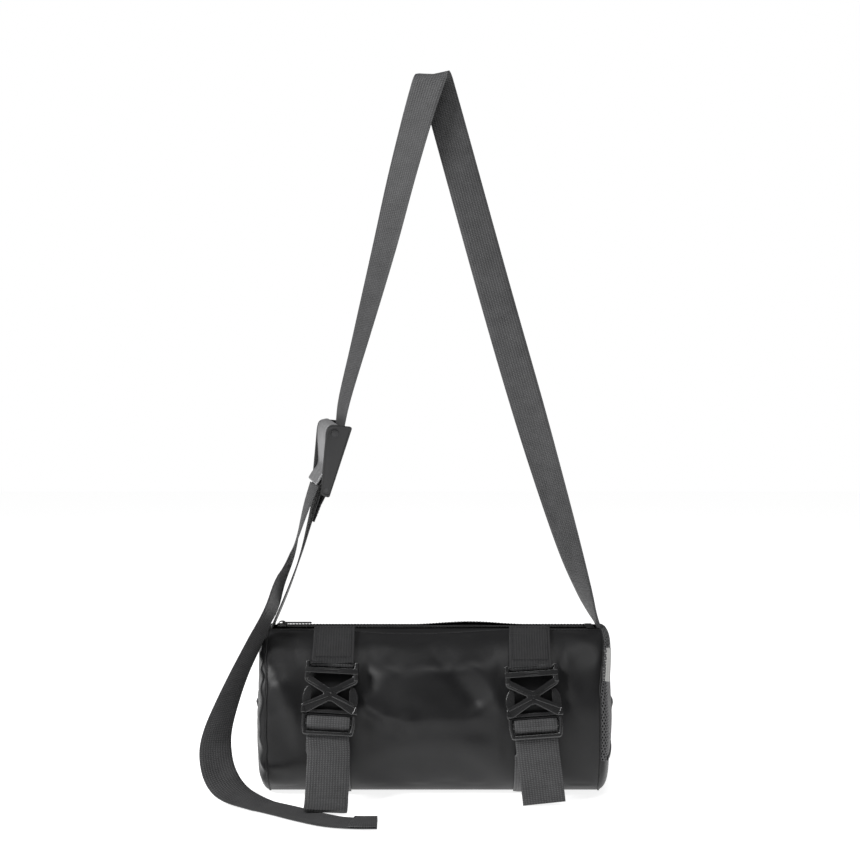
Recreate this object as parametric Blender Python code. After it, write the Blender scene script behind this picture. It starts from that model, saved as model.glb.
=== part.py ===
"""Crossbody barrel bag: CAD source, in metres, +Z up, front of the bag towards -Y.

The bag's long axis runs along X. The origin is the centre of its flat base.
"""

import math

import bmesh
import bpy
import numpy as np

# ---- driving dimensions, in metres -------------------------------------------------
BODY_HALF_LENGTH = 0.1503  # half the length of the sewn tube between the two end seams
HALF_DEPTH = 0.077  # half the tube's depth, front to back
CENTRE_Z = 0.0725  # height of the widest line
TOP_Z = 0.148  # height of the top
SAG_DEPTH = 0.0763  # lower half of the section before the floor flattens it
WALL = 0.0020  # nylon with its foam
SLOT_HALF = 0.0160  # half the opening that the zip closes
DOME_RISE = 0.0170  # how far an end panel bulges
DOME_WALL = 0.0015
PIPING_R = 0.0016
MESH_EDGE_Z = 0.0345  # the end mesh starts above this height
GAP = 0.0003

STRAP_WIDTH = 0.032  # shoulder webbing
STRAP_THICK = 0.0016
FRONT_WIDTH = 0.038  # front webbing
FRONT_THICK = 0.0015
BUCKLE_TILT = math.radians(16.0)  # the buckles lean back against the barrel
BUCKLE_LEFT = (-0.0940, -0.0815, 0.0898)
BUCKLE_RIGHT = (0.0882, -0.0815, 0.0870)
LEAN_LEFT = math.radians(3.0)
LEAN_RIGHT = math.radians(-4.0)
BUCKLE_MID_V = 0.0105  # buckle height, from its split line, of the two points above

PIN_CENTRE = np.array((-0.0997, 0.0, 0.3330))  # cam buckle's pin
ADJUSTER_U = np.array((-0.303, 0.939, 0.1616))  # along the pin, front to back
ADJUSTER_V = np.array((0.153, -0.119, 0.981))  # up the strap

SLIDER_X = -0.1455
PULLER_AXIS = (-0.1445, 0.0, 0.1494)

NYLON = ("nylon", (0.030, 0.030, 0.032), 0.55, 0.0)
LINING = ("lining_cloth", (0.045, 0.045, 0.048), 0.8, 0.0)
MESH = ("mesh_cloth", (0.055, 0.055, 0.058), 0.7, 0.0)
WEBBING = ("webbing", (0.075, 0.075, 0.080), 0.7, 0.0)
PLASTIC = ("buckle_plastic", (0.018, 0.018, 0.019), 0.32, 0.0)
COATED = ("coated_metal", (0.040, 0.040, 0.042), 0.38, 0.85)
LEVER = ("lever_metal", (0.330, 0.330, 0.335), 0.42, 0.9)
BRIGHT = ("bright_metal", (0.620, 0.620, 0.610), 0.28, 1.0)
LABEL = ("label_cloth", (0.560, 0.560, 0.550), 0.75, 0.0)


# ---- scene and mesh helpers --------------------------------------------------------
for old in list(bpy.data.objects):
    bpy.data.objects.remove(old, do_unlink=True)


def make_material(name, look):
    _, colour, roughness, metallic = look
    material = bpy.data.materials.new(name + "_" + look[0])
    material.use_nodes = True
    shader = material.node_tree.nodes["Principled BSDF"]
    shader.inputs["Base Color"].default_value = (*colour, 1.0)
    shader.inputs["Roughness"].default_value = roughness
    shader.inputs["Metallic"].default_value = metallic
    material.diffuse_color = (*colour, 1.0)
    return material


def make_object(name, vertices, faces, look, origin=(0.0, 0.0, 0.0), smooth=True):
    """One closed body, faces outwards, with its own material and origin."""
    centre = np.array(origin, float)
    mesh = bpy.data.meshes.new(name)
    mesh.from_pydata([tuple(np.array(v, float) - centre) for v in vertices], [], faces)
    shape = bmesh.new()
    shape.from_mesh(mesh)
    bmesh.ops.recalc_face_normals(shape, faces=shape.faces[:])
    shape.to_mesh(mesh)
    shape.free()
    for polygon in mesh.polygons:
        polygon.use_smooth = smooth
    built = bpy.data.objects.new(name, mesh)
    built.location = tuple(centre)
    bpy.context.scene.collection.objects.link(built)
    mesh.materials.append(make_material(name, look))
    return built


def combine(target, tool, operation):
    """Fuses tool into target, or cuts it out, and removes tool."""
    modifier = target.modifiers.new("combine", "BOOLEAN")
    modifier.operation = operation
    modifier.solver = "EXACT"
    modifier.object = tool
    bpy.context.view_layer.update()
    depsgraph = bpy.context.evaluated_depsgraph_get()
    result = bpy.data.meshes.new_from_object(target.evaluated_get(depsgraph))
    target.modifiers.clear()
    look = target.data.materials[0]
    target.data = result
    target.data.materials.clear()
    target.data.materials.append(look)
    for polygon in result.polygons:
        polygon.material_index = 0
    bpy.data.objects.remove(tool, do_unlink=True)


def unit(vector):
    vector = np.array(vector, float)
    return vector / np.linalg.norm(vector)


def frame_of(origin, u, v):
    """A local frame: origin, and unit axes u, v and n = u x v."""
    u = unit(u)
    v = unit(np.array(v) - u * np.dot(u, v))
    return np.array(origin, float), u, v, np.cross(u, v)


def to_world(frame, u, v, n):
    origin, axis_u, axis_v, axis_n = frame
    return origin + axis_u * u + axis_v * v + axis_n * n


def arc(centre, radius, start, end, count):
    """Points of an arc in a plane, angles in degrees."""
    angles = [math.radians(start + (end - start) * k / count) for k in range(count + 1)]
    return [(centre[0] + radius * math.cos(a), centre[1] + radius * math.sin(a)) for a in angles]


def smooth_path(points, per_segment):
    """A Catmull-Rom curve through points of any dimension."""
    points = [np.array(p, float) for p in points]
    ends = [2 * points[0] - points[1]] + points + [2 * points[-1] - points[-2]]
    curve = []
    for k in range(1, len(ends) - 2):
        a, b, c, d = ends[k - 1 : k + 3]
        for step in range(per_segment):
            t = step / per_segment
            curve.append(
                0.5
                * (
                    2 * b
                    + (c - a) * t
                    + (2 * a - 5 * b + 4 * c - d) * t**2
                    + (3 * b - a - 3 * c + d) * t**3
                )
            )
    curve.append(points[-1])
    return curve


def strip(name, points, edges, width, thickness, look, floor=None):
    """Flat webbing swept along points. edges holds the direction across its width at each point."""
    vertices, faces = [], []
    count = len(points)
    for k in range(count):
        tangent = unit(np.array(points[min(k + 1, count - 1)]) - np.array(points[max(k - 1, 0)]))
        across = np.array(edges[k], float)
        across = unit(across - tangent * np.dot(across, tangent))
        normal = np.cross(tangent, across)
        ring = [
            np.array(points[k]) + across * su * width / 2 + normal * sn * thickness / 2
            for su, sn in ((-1, -1), (1, -1), (1, 1), (-1, 1))
        ]
        if floor is not None:
            lift = max(0.0, floor - min(corner[2] for corner in ring))
            ring = [corner + np.array((0.0, 0.0, lift)) for corner in ring]
        vertices.extend(ring)
    for k in range(count - 1):
        for side in range(4):
            a, b = 4 * k + side, 4 * k + (side + 1) % 4
            faces.append((a, b, b + 4, a + 4))
    faces.append((3, 2, 1, 0))
    faces.append(tuple(4 * (count - 1) + side for side in range(4)))
    return make_object(name, vertices, faces, look, smooth=False)


def prism(name, outline, low, high, frame, look, origin=(0.0, 0.0, 0.0), along="n"):
    """A flat outline in two local axes, pulled out along the third."""
    vertices = []
    for level in (low, high):
        for a, b in outline:
            if along == "n":
                vertices.append(to_world(frame, a, b, level))
            else:  # along u, with the outline in (n, v)
                vertices.append(to_world(frame, level, b, a))
    count = len(outline)
    faces = [tuple(range(count - 1, -1, -1)), tuple(range(count, 2 * count))]
    for k in range(count):
        faces.append((k, (k + 1) % count, count + (k + 1) % count, count + k))
    return make_object(name, vertices, faces, look, origin, smooth=False)


def tube(name, points, radius, look, sides=8, closed=False):
    """A round tube along points, with flat ends unless it closes on itself."""
    count = len(points)
    vertices, faces = [], []
    reference = np.array((0.0, 0.0, 0.0))
    for k in range(count):
        if closed:
            tangent = unit(np.array(points[(k + 1) % count]) - np.array(points[k - 1]))
        else:
            ahead, behind = points[min(k + 1, count - 1)], points[max(k - 1, 0)]
            tangent = unit(np.array(ahead) - np.array(behind))
        if not reference.any():
            reference = np.array((1.0, 0.0, 0.0)) if abs(tangent[0]) < 0.9 else np.array((0, 1.0, 0))
        first = unit(reference - tangent * np.dot(reference, tangent))
        second = np.cross(tangent, first)
        reference = first
        for side in range(sides):
            angle = 2 * math.pi * side / sides
            offset = first * math.cos(angle) + second * math.sin(angle)
            vertices.append(np.array(points[k]) + offset * radius)
    for k in range(count if closed else count - 1):
        for side in range(sides):
            a, b = k * sides + side, k * sides + (side + 1) % sides
            c = ((k + 1) % count) * sides
            faces.append((a, b, c + (side + 1) % sides, c + side))
    if not closed:
        faces.append(tuple(range(sides - 1, -1, -1)))
        faces.append(tuple((count - 1) * sides + side for side in range(sides)))
    return make_object(name, vertices, faces, look)


# ---- the barrel's cross-section ----------------------------------------------------
def section(theta, inset=0.0):
    """(y, z) of the section, theta from +Y towards +Z, moved inwards by inset."""
    c, s = math.cos(theta), math.sin(theta)
    if s >= 0:
        return (HALF_DEPTH - inset) * c, CENTRE_Z + (TOP_Z - CENTRE_Z - inset) * s
    y = (HALF_DEPTH - inset) * math.copysign(abs(c) ** (2 / 3), c)
    z = CENTRE_Z - (SAG_DEPTH - inset) * abs(s) ** (2 / 3)
    return y, max(z, inset)


def half_width(z):
    if z >= CENTRE_Z:
        return HALF_DEPTH * math.sqrt(max(0.0, 1 - ((z - CENTRE_Z) / (TOP_Z - CENTRE_Z)) ** 2))
    return HALF_DEPTH * max(0.0, 1 - ((CENTRE_Z - z) / SAG_DEPTH) ** 3) ** (1 / 3)


def dome(y, z):
    """How far an end panel stands out at (y, z)."""
    if z >= CENTRE_Z:
        reach = math.hypot(y / HALF_DEPTH, (z - CENTRE_Z) / (TOP_Z - CENTRE_Z))
    else:
        reach = (abs(y / HALF_DEPTH) ** 3 + ((CENTRE_Z - z) / SAG_DEPTH) ** 3) ** (1 / 3)
    return DOME_RISE * max(0.0, 1 - min(reach, 1.0) ** 2.6) ** 0.75


def open_tube(name, half_length, inset, wall, slot_half, look):
    """The barrel's wall: a tube along X with a slot along its top."""
    start = math.acos(slot_half / (HALF_DEPTH - inset))
    steps = 84
    vertices, faces = [], []
    for k in range(steps + 1):
        theta = start - (2 * math.pi - (math.pi - 2 * start)) * k / steps
        outer, inner = section(theta, inset), section(theta, inset + wall)
        for x, (y, z) in (
            (-half_length, outer),
            (half_length, outer),
            (half_length, inner),
            (-half_length, inner),
        ):
            vertices.append((x, y, z))
    for k in range(steps):
        for side in range(4):
            a, b = 4 * k + side, 4 * k + (side + 1) % 4
            faces.append((a, b, b + 4, a + 4))
    faces.append((3, 2, 1, 0))
    faces.append(tuple(4 * steps + side for side in range(4)))
    return make_object(name, vertices, faces, look)


def dome_panel(name, side, low, high, look, rows=18, columns=18):
    """Part of an end panel between two heights, a shell of even thickness along X."""
    base = BODY_HALF_LENGTH + GAP + 2 * PIPING_R + GAP
    vertices, faces = [], []
    for level in (0.0, DOME_WALL):
        for j in range(rows + 1):
            z = low + (high - low) * 0.5 * (1 - math.cos(math.pi * j / rows))
            for k in range(columns + 1):
                y = half_width(z) * math.sin(math.pi / 2 * (2 * k / columns - 1))
                vertices.append((side * (base + level + dome(y, z)), y, z))
    layer = (rows + 1) * (columns + 1)
    for j in range(rows):
        for k in range(columns):
            a = j * (columns + 1) + k
            quad = (a, a + 1, a + columns + 2, a + columns + 1)
            faces.append(quad)
            faces.append(tuple(index + layer for index in reversed(quad)))
    rim = [k for k in range(columns + 1)]
    rim += [(j + 1) * (columns + 1) + columns for j in range(rows)]
    rim += [rows * (columns + 1) + columns - 1 - k for k in range(columns)]
    rim += [(rows - 1 - j) * (columns + 1) for j in range(rows - 1)]
    for k in range(len(rim)):
        a, b = rim[k], rim[(k + 1) % len(rim)]
        faces.append((a, b, b + layer, a + layer))
    return make_object(name, vertices, faces, look)


def box(name, low, high, look, origin=(0.0, 0.0, 0.0)):
    frame = frame_of((0, 0, 0), (1, 0, 0), (0, 1, 0))
    outline = [(low[0], low[1]), (high[0], low[1]), (high[0], high[1]), (low[0], high[1])]
    return prism(name, outline, low[2], high[2], frame, look, origin)


# ---- body --------------------------------------------------------------------------
open_tube("body_wrap", BODY_HALF_LENGTH, 0.0, WALL, SLOT_HALF, NYLON)
open_tube("lining", BODY_HALF_LENGTH - 0.001, WALL + GAP, 0.0008, SLOT_HALF + 0.001, LINING)
for side, name in ((-1, "piping_left"), (1, "piping_right")):
    ring = []
    for k in range(72):
        y, z = section(2 * math.pi * k / 72, PIPING_R)
        ring.append((side * (BODY_HALF_LENGTH + GAP + PIPING_R), y, z))
    tube(name, ring, PIPING_R, NYLON, sides=8, closed=True)
dome_panel("end_panel_left", -1, 0.0, TOP_Z - 0.0006, NYLON)
dome_panel("end_panel_right_lower", 1, 0.0, MESH_EDGE_Z, NYLON, rows=8)
dome_panel("end_mesh_right", 1, MESH_EDGE_Z + 0.004, TOP_Z - 0.0006, MESH, rows=16)

tape_line, tape_edges = [], []
for k in range(19):
    z = MESH_EDGE_Z + 0.002
    y = half_width(z) * math.sin(math.pi / 2 * (2 * k / 18 - 1))
    x = BODY_HALF_LENGTH + 2 * GAP + 2 * PIPING_R + DOME_WALL / 2 + dome(y, z)
    tape_line.append((x, y, z))
    tape_edges.append((0.0, 0.0, 1.0))
strip("mesh_seam_tape", tape_line, tape_edges, 0.0034, DOME_WALL, NYLON)

label_line, label_edges = [], []
for k in range(7):
    z = 0.105 + 0.030 * k / 6
    y_near = -half_width(z) - 0.0022
    y_far = y_near + 0.0058
    label_line.append((0.1582, (y_near + y_far) / 2, z))
    label_edges.append((0.0079, 0.0058, 0.0))
strip("side_label", label_line, label_edges, 0.0098, 0.0005, LABEL)

# ---- zip ---------------------------------------------------------------------------
box("zip_tape_front", (-0.1500, -0.0155, 0.1440), (0.1500, -0.0035, 0.1450), WEBBING)
box("zip_tape_rear", (-0.1500, 0.0035, 0.1440), (0.1500, 0.0155, 0.1450), WEBBING)
frame_x = frame_of((0, 0, 0), (0, 1, 0), (0, 0, 1))
chain = [(-0.0032, 0.1442), (0.0032, 0.1442), (0.0032, 0.1462), (0.0014, 0.1468)]
chain += [(-0.0014, 0.1468), (-0.0032, 0.1462)]
prism("zip_chain", chain, -0.1500, 0.1430, frame_x, WEBBING)
box("zip_end_tab", (0.1434, -0.0120, 0.1453), (0.1500, 0.0120, 0.1470), NYLON)

slider = box(
    "zip_slider",
    (SLIDER_X - 0.0045, -0.0046, 0.1471),
    (SLIDER_X + 0.0045, 0.0046, 0.1484),
    BRIGHT,
    (SLIDER_X, 0.0, 0.1471),
)
for side in (-1, 1):
    low_y, high_y = sorted((side * 0.0036, side * 0.0046))
    flange = box(
        "flange", (SLIDER_X - 0.004, low_y, 0.1453), (SLIDER_X + 0.004, high_y, 0.1475), BRIGHT
    )
    combine(slider, flange, "UNION")
bridge = box(
    "bridge", (SLIDER_X - 0.0032, -0.0010, 0.1480), (SLIDER_X + 0.0032, 0.0010, 0.1514), BRIGHT
)
window = box(
    "window", (SLIDER_X - 0.0022, -0.0020, 0.1484), (SLIDER_X + 0.0022, 0.0020, 0.1504), BRIGHT
)
combine(slider, bridge, "UNION")
combine(slider, window, "DIFFERENCE")

axis_x, _, axis_z = PULLER_AXIS
puller = box(
    "zip_puller",
    (axis_x + 0.0040, -0.0024, axis_z - 0.0005),
    (axis_x + 0.0270, 0.0024, axis_z + 0.0005),
    BRIGHT,
    PULLER_AXIS,
)
for side in (-1, 1):
    low_y, high_y = sorted((side * 0.0014, side * 0.0024))
    rail_low = (axis_x - 0.0006, low_y, axis_z - 0.0005)
    rail_high = (axis_x + 0.0045, high_y, axis_z + 0.0005)
    rail = box("rail", rail_low, rail_high, BRIGHT)
    combine(puller, rail, "UNION")
crossbar = tube(
    "crossbar", [(axis_x, -0.0023, axis_z), (axis_x, 0.0023, axis_z)], 0.0006, BRIGHT, sides=12
)
combine(puller, crossbar, "UNION")
hole = tube(
    "hole",
    [(axis_x + 0.0228, 0.0, axis_z - 0.002), (axis_x + 0.0228, 0.0, axis_z + 0.002)],
    0.0012,
    BRIGHT,
    sides=16,
)
combine(puller, hole, "DIFFERENCE")


# ---- front buckles and their webbing -----------------------------------------------
def buckle_frame(centre, lean):
    """Local frame of a buckle: u to the right, v up, n out of the bag, origin on the split line."""
    up = np.array((0.0, math.sin(BUCKLE_TILT), math.cos(BUCKLE_TILT)))
    right = np.array((1.0, 0.0, 0.0))
    axis_v = up * math.cos(lean) + right * math.sin(lean)
    axis_u = right * math.cos(lean) - up * math.sin(lean)
    origin = np.array(centre) - axis_v * BUCKLE_MID_V
    return frame_of(origin, axis_u, axis_v)


def slab(name, frame, low, high, look):
    outline = [(low[0], low[1]), (high[0], low[1]), (high[0], high[1]), (low[0], high[1])]
    return prism(name, outline, low[2], high[2], frame, look)


def diagonal(name, frame, start, end, width, low, high, look):
    start, end = np.array(start), np.array(end)
    along = unit(end - start)
    side = np.array((-along[1], along[0])) * width / 2
    outline = [start - side, end - side, end + side, start + side]
    return prism(name, [tuple(p) for p in outline], low, high, frame, look)


def settle(built, frame):
    """Moves a body modelled flat, at the origin, into a local frame."""
    for vertex in built.data.vertices:
        vertex.co = tuple(to_world(frame, *vertex.co))
    return built


FLAT = frame_of((0, 0, 0), (1, 0, 0), (0, 1, 0))


def make_female(name, frame):
    body = slab(name, FLAT, (-0.0234, 0.0358, -0.0040), (0.0234, 0.0406, 0.0040), PLASTIC)
    for side in (-1, 1):
        edge = sorted((side * 0.0200, side * 0.0242))
        ear = slab("ear", FLAT, (edge[0], 0.0275, -0.0042), (edge[1], 0.0464, 0.0042), PLASTIC)
        combine(body, ear, "UNION")
    bar = tube("bar", [(-0.0220, 0.0443, 0.0), (0.0220, 0.0443, 0.0)], 0.0015, PLASTIC, sides=16)
    combine(body, bar, "UNION")
    for face in (-1, 1):
        arm_span = sorted((face * 0.0016, face * 0.0038))
        foot_span = sorted((face * 0.0015, face * 0.0039))
        for side in (-1, 1):
            start = (-side * 0.0222, 0.0035)
            end = (side * 0.0212, 0.0310)
            arm = diagonal("arm", FLAT, start, end, 0.0065, *arm_span, PLASTIC)
            combine(body, arm, "UNION")
            edge = sorted((side * 0.0180, side * 0.0248))
            low, high = (edge[0], 0.0004, foot_span[0]), (edge[1], 0.0078, foot_span[1])
            combine(body, slab("foot", FLAT, low, high, PLASTIC), "UNION")
    pillar = slab("pillar", FLAT, (-0.0042, 0.0125, -0.0030), (0.0042, 0.0225, 0.0030), PLASTIC)
    combine(body, pillar, "UNION")
    return settle(body, frame)


def make_male(name, frame):
    body = slab(name, FLAT, (-0.0230, -0.0180, -0.0018), (0.0230, -0.0148, 0.0018), PLASTIC)
    for side in (-1, 1):
        edge = sorted((side * 0.0198, side * 0.0236))
        rail = slab("rail", FLAT, (edge[0], -0.0182, -0.0020), (edge[1], -0.0002, 0.0020), PLASTIC)
        combine(body, rail, "UNION")
        edge = sorted((side * 0.0200, side * 0.0234))
        post = slab("post", FLAT, (edge[0], -0.0030, -0.0012), (edge[1], 0.0040, 0.0012), PLASTIC)
        combine(body, post, "UNION")
    bar = slab("bar", FLAT, (-0.0215, -0.0092, -0.0016), (0.0215, -0.0040, 0.0016), PLASTIC)
    combine(body, bar, "UNION")
    base = slab("base", FLAT, (-0.0215, 0.0010, -0.0011), (0.0215, 0.0039, 0.0011), PLASTIC)
    combine(body, base, "UNION")
    return settle(body, frame)


def make_prong(name, frame, side):
    outline = [
        (0.0178, 0.0046),
        (0.0214, 0.0046),
        (0.0238, 0.0080),
        (0.0248, 0.0120),
        (0.0244, 0.0170),
        (0.0226, 0.0215),
        (0.0200, 0.0245),
        (0.0180, 0.0235),
        (0.0198, 0.0195),
        (0.0204, 0.0150),
        (0.0198, 0.0100),
    ]
    mirrored = [(side * u, v) for u, v in outline]
    pivot = to_world(frame, side * 0.0196, 0.0046, 0.0)
    return prism(name, mirrored, -0.0012, 0.0012, frame, PLASTIC, tuple(pivot))


def section_point(x, y, offset):
    """A point a little outside the front of the barrel, found from its y."""
    z_top = CENTRE_Z + (TOP_Z - CENTRE_Z) * math.sqrt(1 - (y / HALF_DEPTH) ** 2)
    slope = np.array((y / HALF_DEPTH**2, (z_top - CENTRE_Z) / (TOP_Z - CENTRE_Z) ** 2))
    slope = slope / np.linalg.norm(slope)
    return np.array((x, y + slope[0] * offset, z_top + slope[1] * offset))


def lower_point(x, theta, offset):
    """A point a little outside the lower front of the barrel, from its angle."""
    y, z = section(theta)
    y_next, z_next = section(theta + 0.01)
    normal = np.array((z_next - z, -(y_next - y)))
    normal = normal / np.linalg.norm(normal)
    return np.array((x, y + normal[0] * offset, z + normal[1] * offset))


def make_tab(name, frame, lean):
    """The doubled webbing sewn down the front, looped round the buckle's hidden bar."""
    bar = to_world(frame, 0.0, 0.0443, 0.0)
    x_top = bar[0] - 0.040 * math.sin(lean)
    depths = (-0.0190, -0.0235, -0.0280, -0.0325, -0.0370)
    under, over = [], []
    for y in depths:
        x = bar[0] + (x_top - bar[0]) * (y + 0.060) / 0.041
        under.append(section_point(x, y, 0.0017))
        over.append(section_point(x, y, 0.0037))
    loop = []
    for k in range(13):
        angle = math.radians(-138.0 - 180.0 * k / 12)
        v = 0.0443 + 0.0027 * math.cos(angle)
        loop.append(to_world(frame, 0.0, v, 0.0027 * math.sin(angle)))
    points = under + loop + over[::-1]
    flat = [np.array((1.0, 0.0, 0.0))] * len(depths)
    edges = flat + [frame[1]] * len(loop) + flat
    return strip(name, points, edges, FRONT_WIDTH, FRONT_THICK, WEBBING)


def make_compression(name, frame, tail):
    """Lower webbing: from the bag's underside, round the buckle's bar, down as a free tail."""
    start = to_world(frame, 0.0, -0.0215, -0.0046)
    fixed = []
    for theta in (4.13, 4.02, 3.92, 3.82, 3.72, 3.62, 3.52, 3.42):
        fixed.append(lower_point(start[0], theta, 0.0017))
    local = [(-0.0300, -0.0064), (-0.0215, -0.0060), (-0.0165, -0.0056), (-0.0125, -0.0046)]
    local += [(-0.0098, -0.0032), (-0.0070, -0.0029)]
    for step in range(9):
        angle = math.pi * step / 8
        local.append((-0.0045 + 0.0028 * math.sin(angle), -0.0028 * math.cos(angle)))
    local += [(-0.0066, 0.0029), (-0.0088, 0.0030), (-0.0106, 0.0021), (-0.0119, 0.0003)]
    local += [(-0.0130, -0.0018), (-0.0143, -0.0033), (-0.0163, -0.0034), (-0.0205, -0.0030)]
    points = fixed + [to_world(frame, 0.0, v, n) for v, n in local] + [np.array(p) for p in tail]
    edges = [np.array((1.0, 0.0, 0.0))] * len(fixed) + [frame[1]] * (len(points) - len(fixed))
    return strip(name, points, edges, FRONT_WIDTH, FRONT_THICK, WEBBING, floor=0.0006)


SETS = (
    ("left", BUCKLE_LEFT, LEAN_LEFT),
    ("right", BUCKLE_RIGHT, LEAN_RIGHT),
)
# where each free tail goes below its buckle, down to its cut end
TAILS = {
    "left": (
        (-0.0945, -0.0905, 0.0480),
        (-0.0947, -0.0948, 0.0360),
        (-0.0948, -0.1005, 0.0240),
        (-0.0949, -0.1080, 0.0130),
        (-0.0949, -0.1150, 0.0072),
        (-0.0949, -0.1220, 0.0048),
    ),
    "right": (
        (0.0912, -0.0888, 0.0480),
        (0.0926, -0.0892, 0.0360),
        (0.0942, -0.0895, 0.0240),
        (0.0956, -0.0905, 0.0120),
        (0.0966, -0.0922, 0.0022),
    ),
}
for label, centre, lean in SETS:
    local = buckle_frame(centre, lean)
    make_tab("buckle_tab_" + label, local, lean)
    make_female("buckle_female_" + label, local)
    make_male("buckle_male_" + label, local)
    make_prong("prong_" + label + "_outer", local, -1 if label == "left" else 1)
    make_prong("prong_" + label + "_inner", local, 1 if label == "left" else -1)
    make_compression("compression_strap_" + label, local, TAILS[label])

# ---- cam buckle on the shoulder strap ----------------------------------------------
# its plane: w across the side plates, v up the strap, u along the pin
_, U, V, W = frame_of((0, 0, 0), ADJUSTER_U, ADJUSTER_V)


def adjuster_point(w, v, u=0.0):
    return PIN_CENTRE + W * w + V * v + U * u


ADJUSTER = (PIN_CENTRE, W, V, -U)  # for outlines in (w, v), pulled out along the pin
PLATE = (
    (-0.0083, -0.0014),
    (-0.0074, 0.0038),
    (-0.0042, 0.0072),
    (0.0158, 0.0076),
    (0.0034, -0.0618),
    (-0.0050, -0.0600),
)
INNER_HALF = 0.0172
PLATE_T = 0.0018

plates = prism(
    "adjuster_frame", PLATE, -INNER_HALF - PLATE_T, INNER_HALF + PLATE_T, ADJUSTER, COATED
)
hollow = (
    (-0.0300, -0.0800),
    (0.0200, -0.0800),
    (0.0200, -0.0450),
    (0.0050, -0.0450),
    (0.0141, 0.0090),
    (-0.0300, 0.0090),
)
combine(
    plates, prism("hollow", hollow, -INNER_HALF, INNER_HALF, ADJUSTER, COATED), "DIFFERENCE"
)
BAR_W, BAR_V = -0.0005, -0.0550
PIN_R, BAR_R = 0.0025, 0.0020
for w, v, radius in ((0.0, 0.0, PIN_R + GAP), (BAR_W, BAR_V, BAR_R + GAP)):
    drill = tube(
        "drill",
        [adjuster_point(w, v, -0.025), adjuster_point(w, v, 0.025)],
        radius,
        COATED,
        sides=24,
    )
    combine(plates, drill, "DIFFERENCE")

pin = tube(
    "adjuster_pin", [adjuster_point(0, 0, -0.0194), adjuster_point(0, 0, 0.0194)], PIN_R, BRIGHT, 24
)
for low, high in ((-0.0203, -0.0193), (0.0193, 0.0203)):
    head = tube("head", [adjuster_point(0, 0, low), adjuster_point(0, 0, high)], 0.0036, BRIGHT, 24)
    combine(pin, head, "UNION")
tube(
    "adjuster_lower_bar",
    [adjuster_point(BAR_W, BAR_V, -0.0193), adjuster_point(BAR_W, BAR_V, 0.0193)],
    BAR_R,
    COATED,
    20,
)

CAM_LOW, CAM_HIGH = 0.0062, 0.0088
lever_outline = []
for k in range(16):
    degrees = 5.0 + 12.0 * k
    swell = min(1.0, max(0.0, (degrees - 30.0) / 65.0))
    radius = CAM_LOW + (CAM_HIGH - CAM_LOW) * swell * swell * (3 - 2 * swell)
    turn = math.radians(degrees)
    lever_outline.append((radius * math.cos(turn), radius * math.sin(turn)))
lever_outline += [
    (-0.0080, -0.0080),
    (-0.0056, -0.0210),
    (-0.0034, -0.0325),
    (-0.0040, -0.0378),
    (-0.0078, -0.0436),
    (-0.0104, -0.0502),
    (-0.0096, -0.0516),
    (-0.0062, -0.0457),
    (-0.0034, -0.0408),
    (-0.0018, -0.0360),
    (0.0004, -0.0260),
    (0.0036, -0.0120),
    (0.0062, -0.0060),
    (0.0066, -0.0030),
]
lever = prism(
    "adjuster_lever", lever_outline, -0.0158, 0.0158, ADJUSTER, LEVER, tuple(PIN_CENTRE)
)
lever_hole = tube(
    "lever_hole",
    [adjuster_point(0, 0, -0.020), adjuster_point(0, 0, 0.020)],
    PIN_R + GAP,
    LEVER,
    sides=24,
)
combine(lever, lever_hole, "DIFFERENCE")
notch = ((0.0, -0.0060), (0.0090, -0.0060), (0.0090, 0.0090), (-0.0090, 0.0090), (-0.0090, -0.0060))
combine(lever, prism("notch", notch, -0.0045, 0.0045, ADJUSTER, LEVER), "DIFFERENCE")

coil = []
for k in range(4 * 14 + 1):
    turn = 2 * math.pi * k / 14
    along = -0.0033 + 0.0066 * k / (4 * 14)
    coil.append(adjuster_point(0.0037 * math.cos(turn), 0.0037 * math.sin(turn), along))
tube("adjuster_spring", coil, 0.0005, BRIGHT, sides=6)

# ---- shoulder strap ----------------------------------------------------------------
# short fixed end: from the left end seam, round the cam buckle's lower bar and back down
anchor_left = np.array((-0.1532, 0.0, 0.1490))
bar_centre = adjuster_point(BAR_W, BAR_V)
down = unit(anchor_left - bar_centre)
side_w = unit(W - down * np.dot(W, down))
LOOP_R = BAR_R + GAP + STRAP_THICK / 2
SHORT_BOW = 0.0039
short_points, short_edges = [], []
start_edge, end_edge = np.array((0.0, -1.0, 0.0)), -U
for k in range(15):
    share = k / 15
    inner = anchor_left * (1 - share) + (bar_centre - side_w * LOOP_R * min(1.0, share * 1.5)) * share
    inner[0] += SHORT_BOW * math.sin(math.pi * share)
    short_points.append(inner)
    short_edges.append(start_edge * (1 - share**2) + end_edge * share**2)
for k in range(13):
    angle = math.pi * k / 12
    short_points.append(
        bar_centre - side_w * LOOP_R * math.cos(angle) - down * LOOP_R * math.sin(angle)
    )
    short_edges.append(end_edge)
for reach in (0.004, 0.010, 0.016, 0.022, 0.028, 0.034):
    spread = LOOP_R - 0.0016 * min(1.0, reach / 0.016)
    short_points.append(bar_centre + side_w * spread + down * reach)
    short_edges.append(end_edge * (1 - reach / 0.13) + start_edge * reach / 0.13)
strip("shoulder_strap_short", short_points, short_edges, STRAP_WIDTH, STRAP_THICK, WEBBING)

# the long strap's way through the cam buckle, in (w, v)
CAM_PATH = (
    (-0.0064, -0.0515),
    (-0.0048, -0.0488),
    (-0.0022, -0.0430),
    (0.0014, -0.0340),
    (0.0044, -0.0240),
    (0.0068, -0.0140),
    (0.0082, -0.0060),
    (0.0087, 0.0000),
    (0.0088, 0.0060),
)
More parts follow.
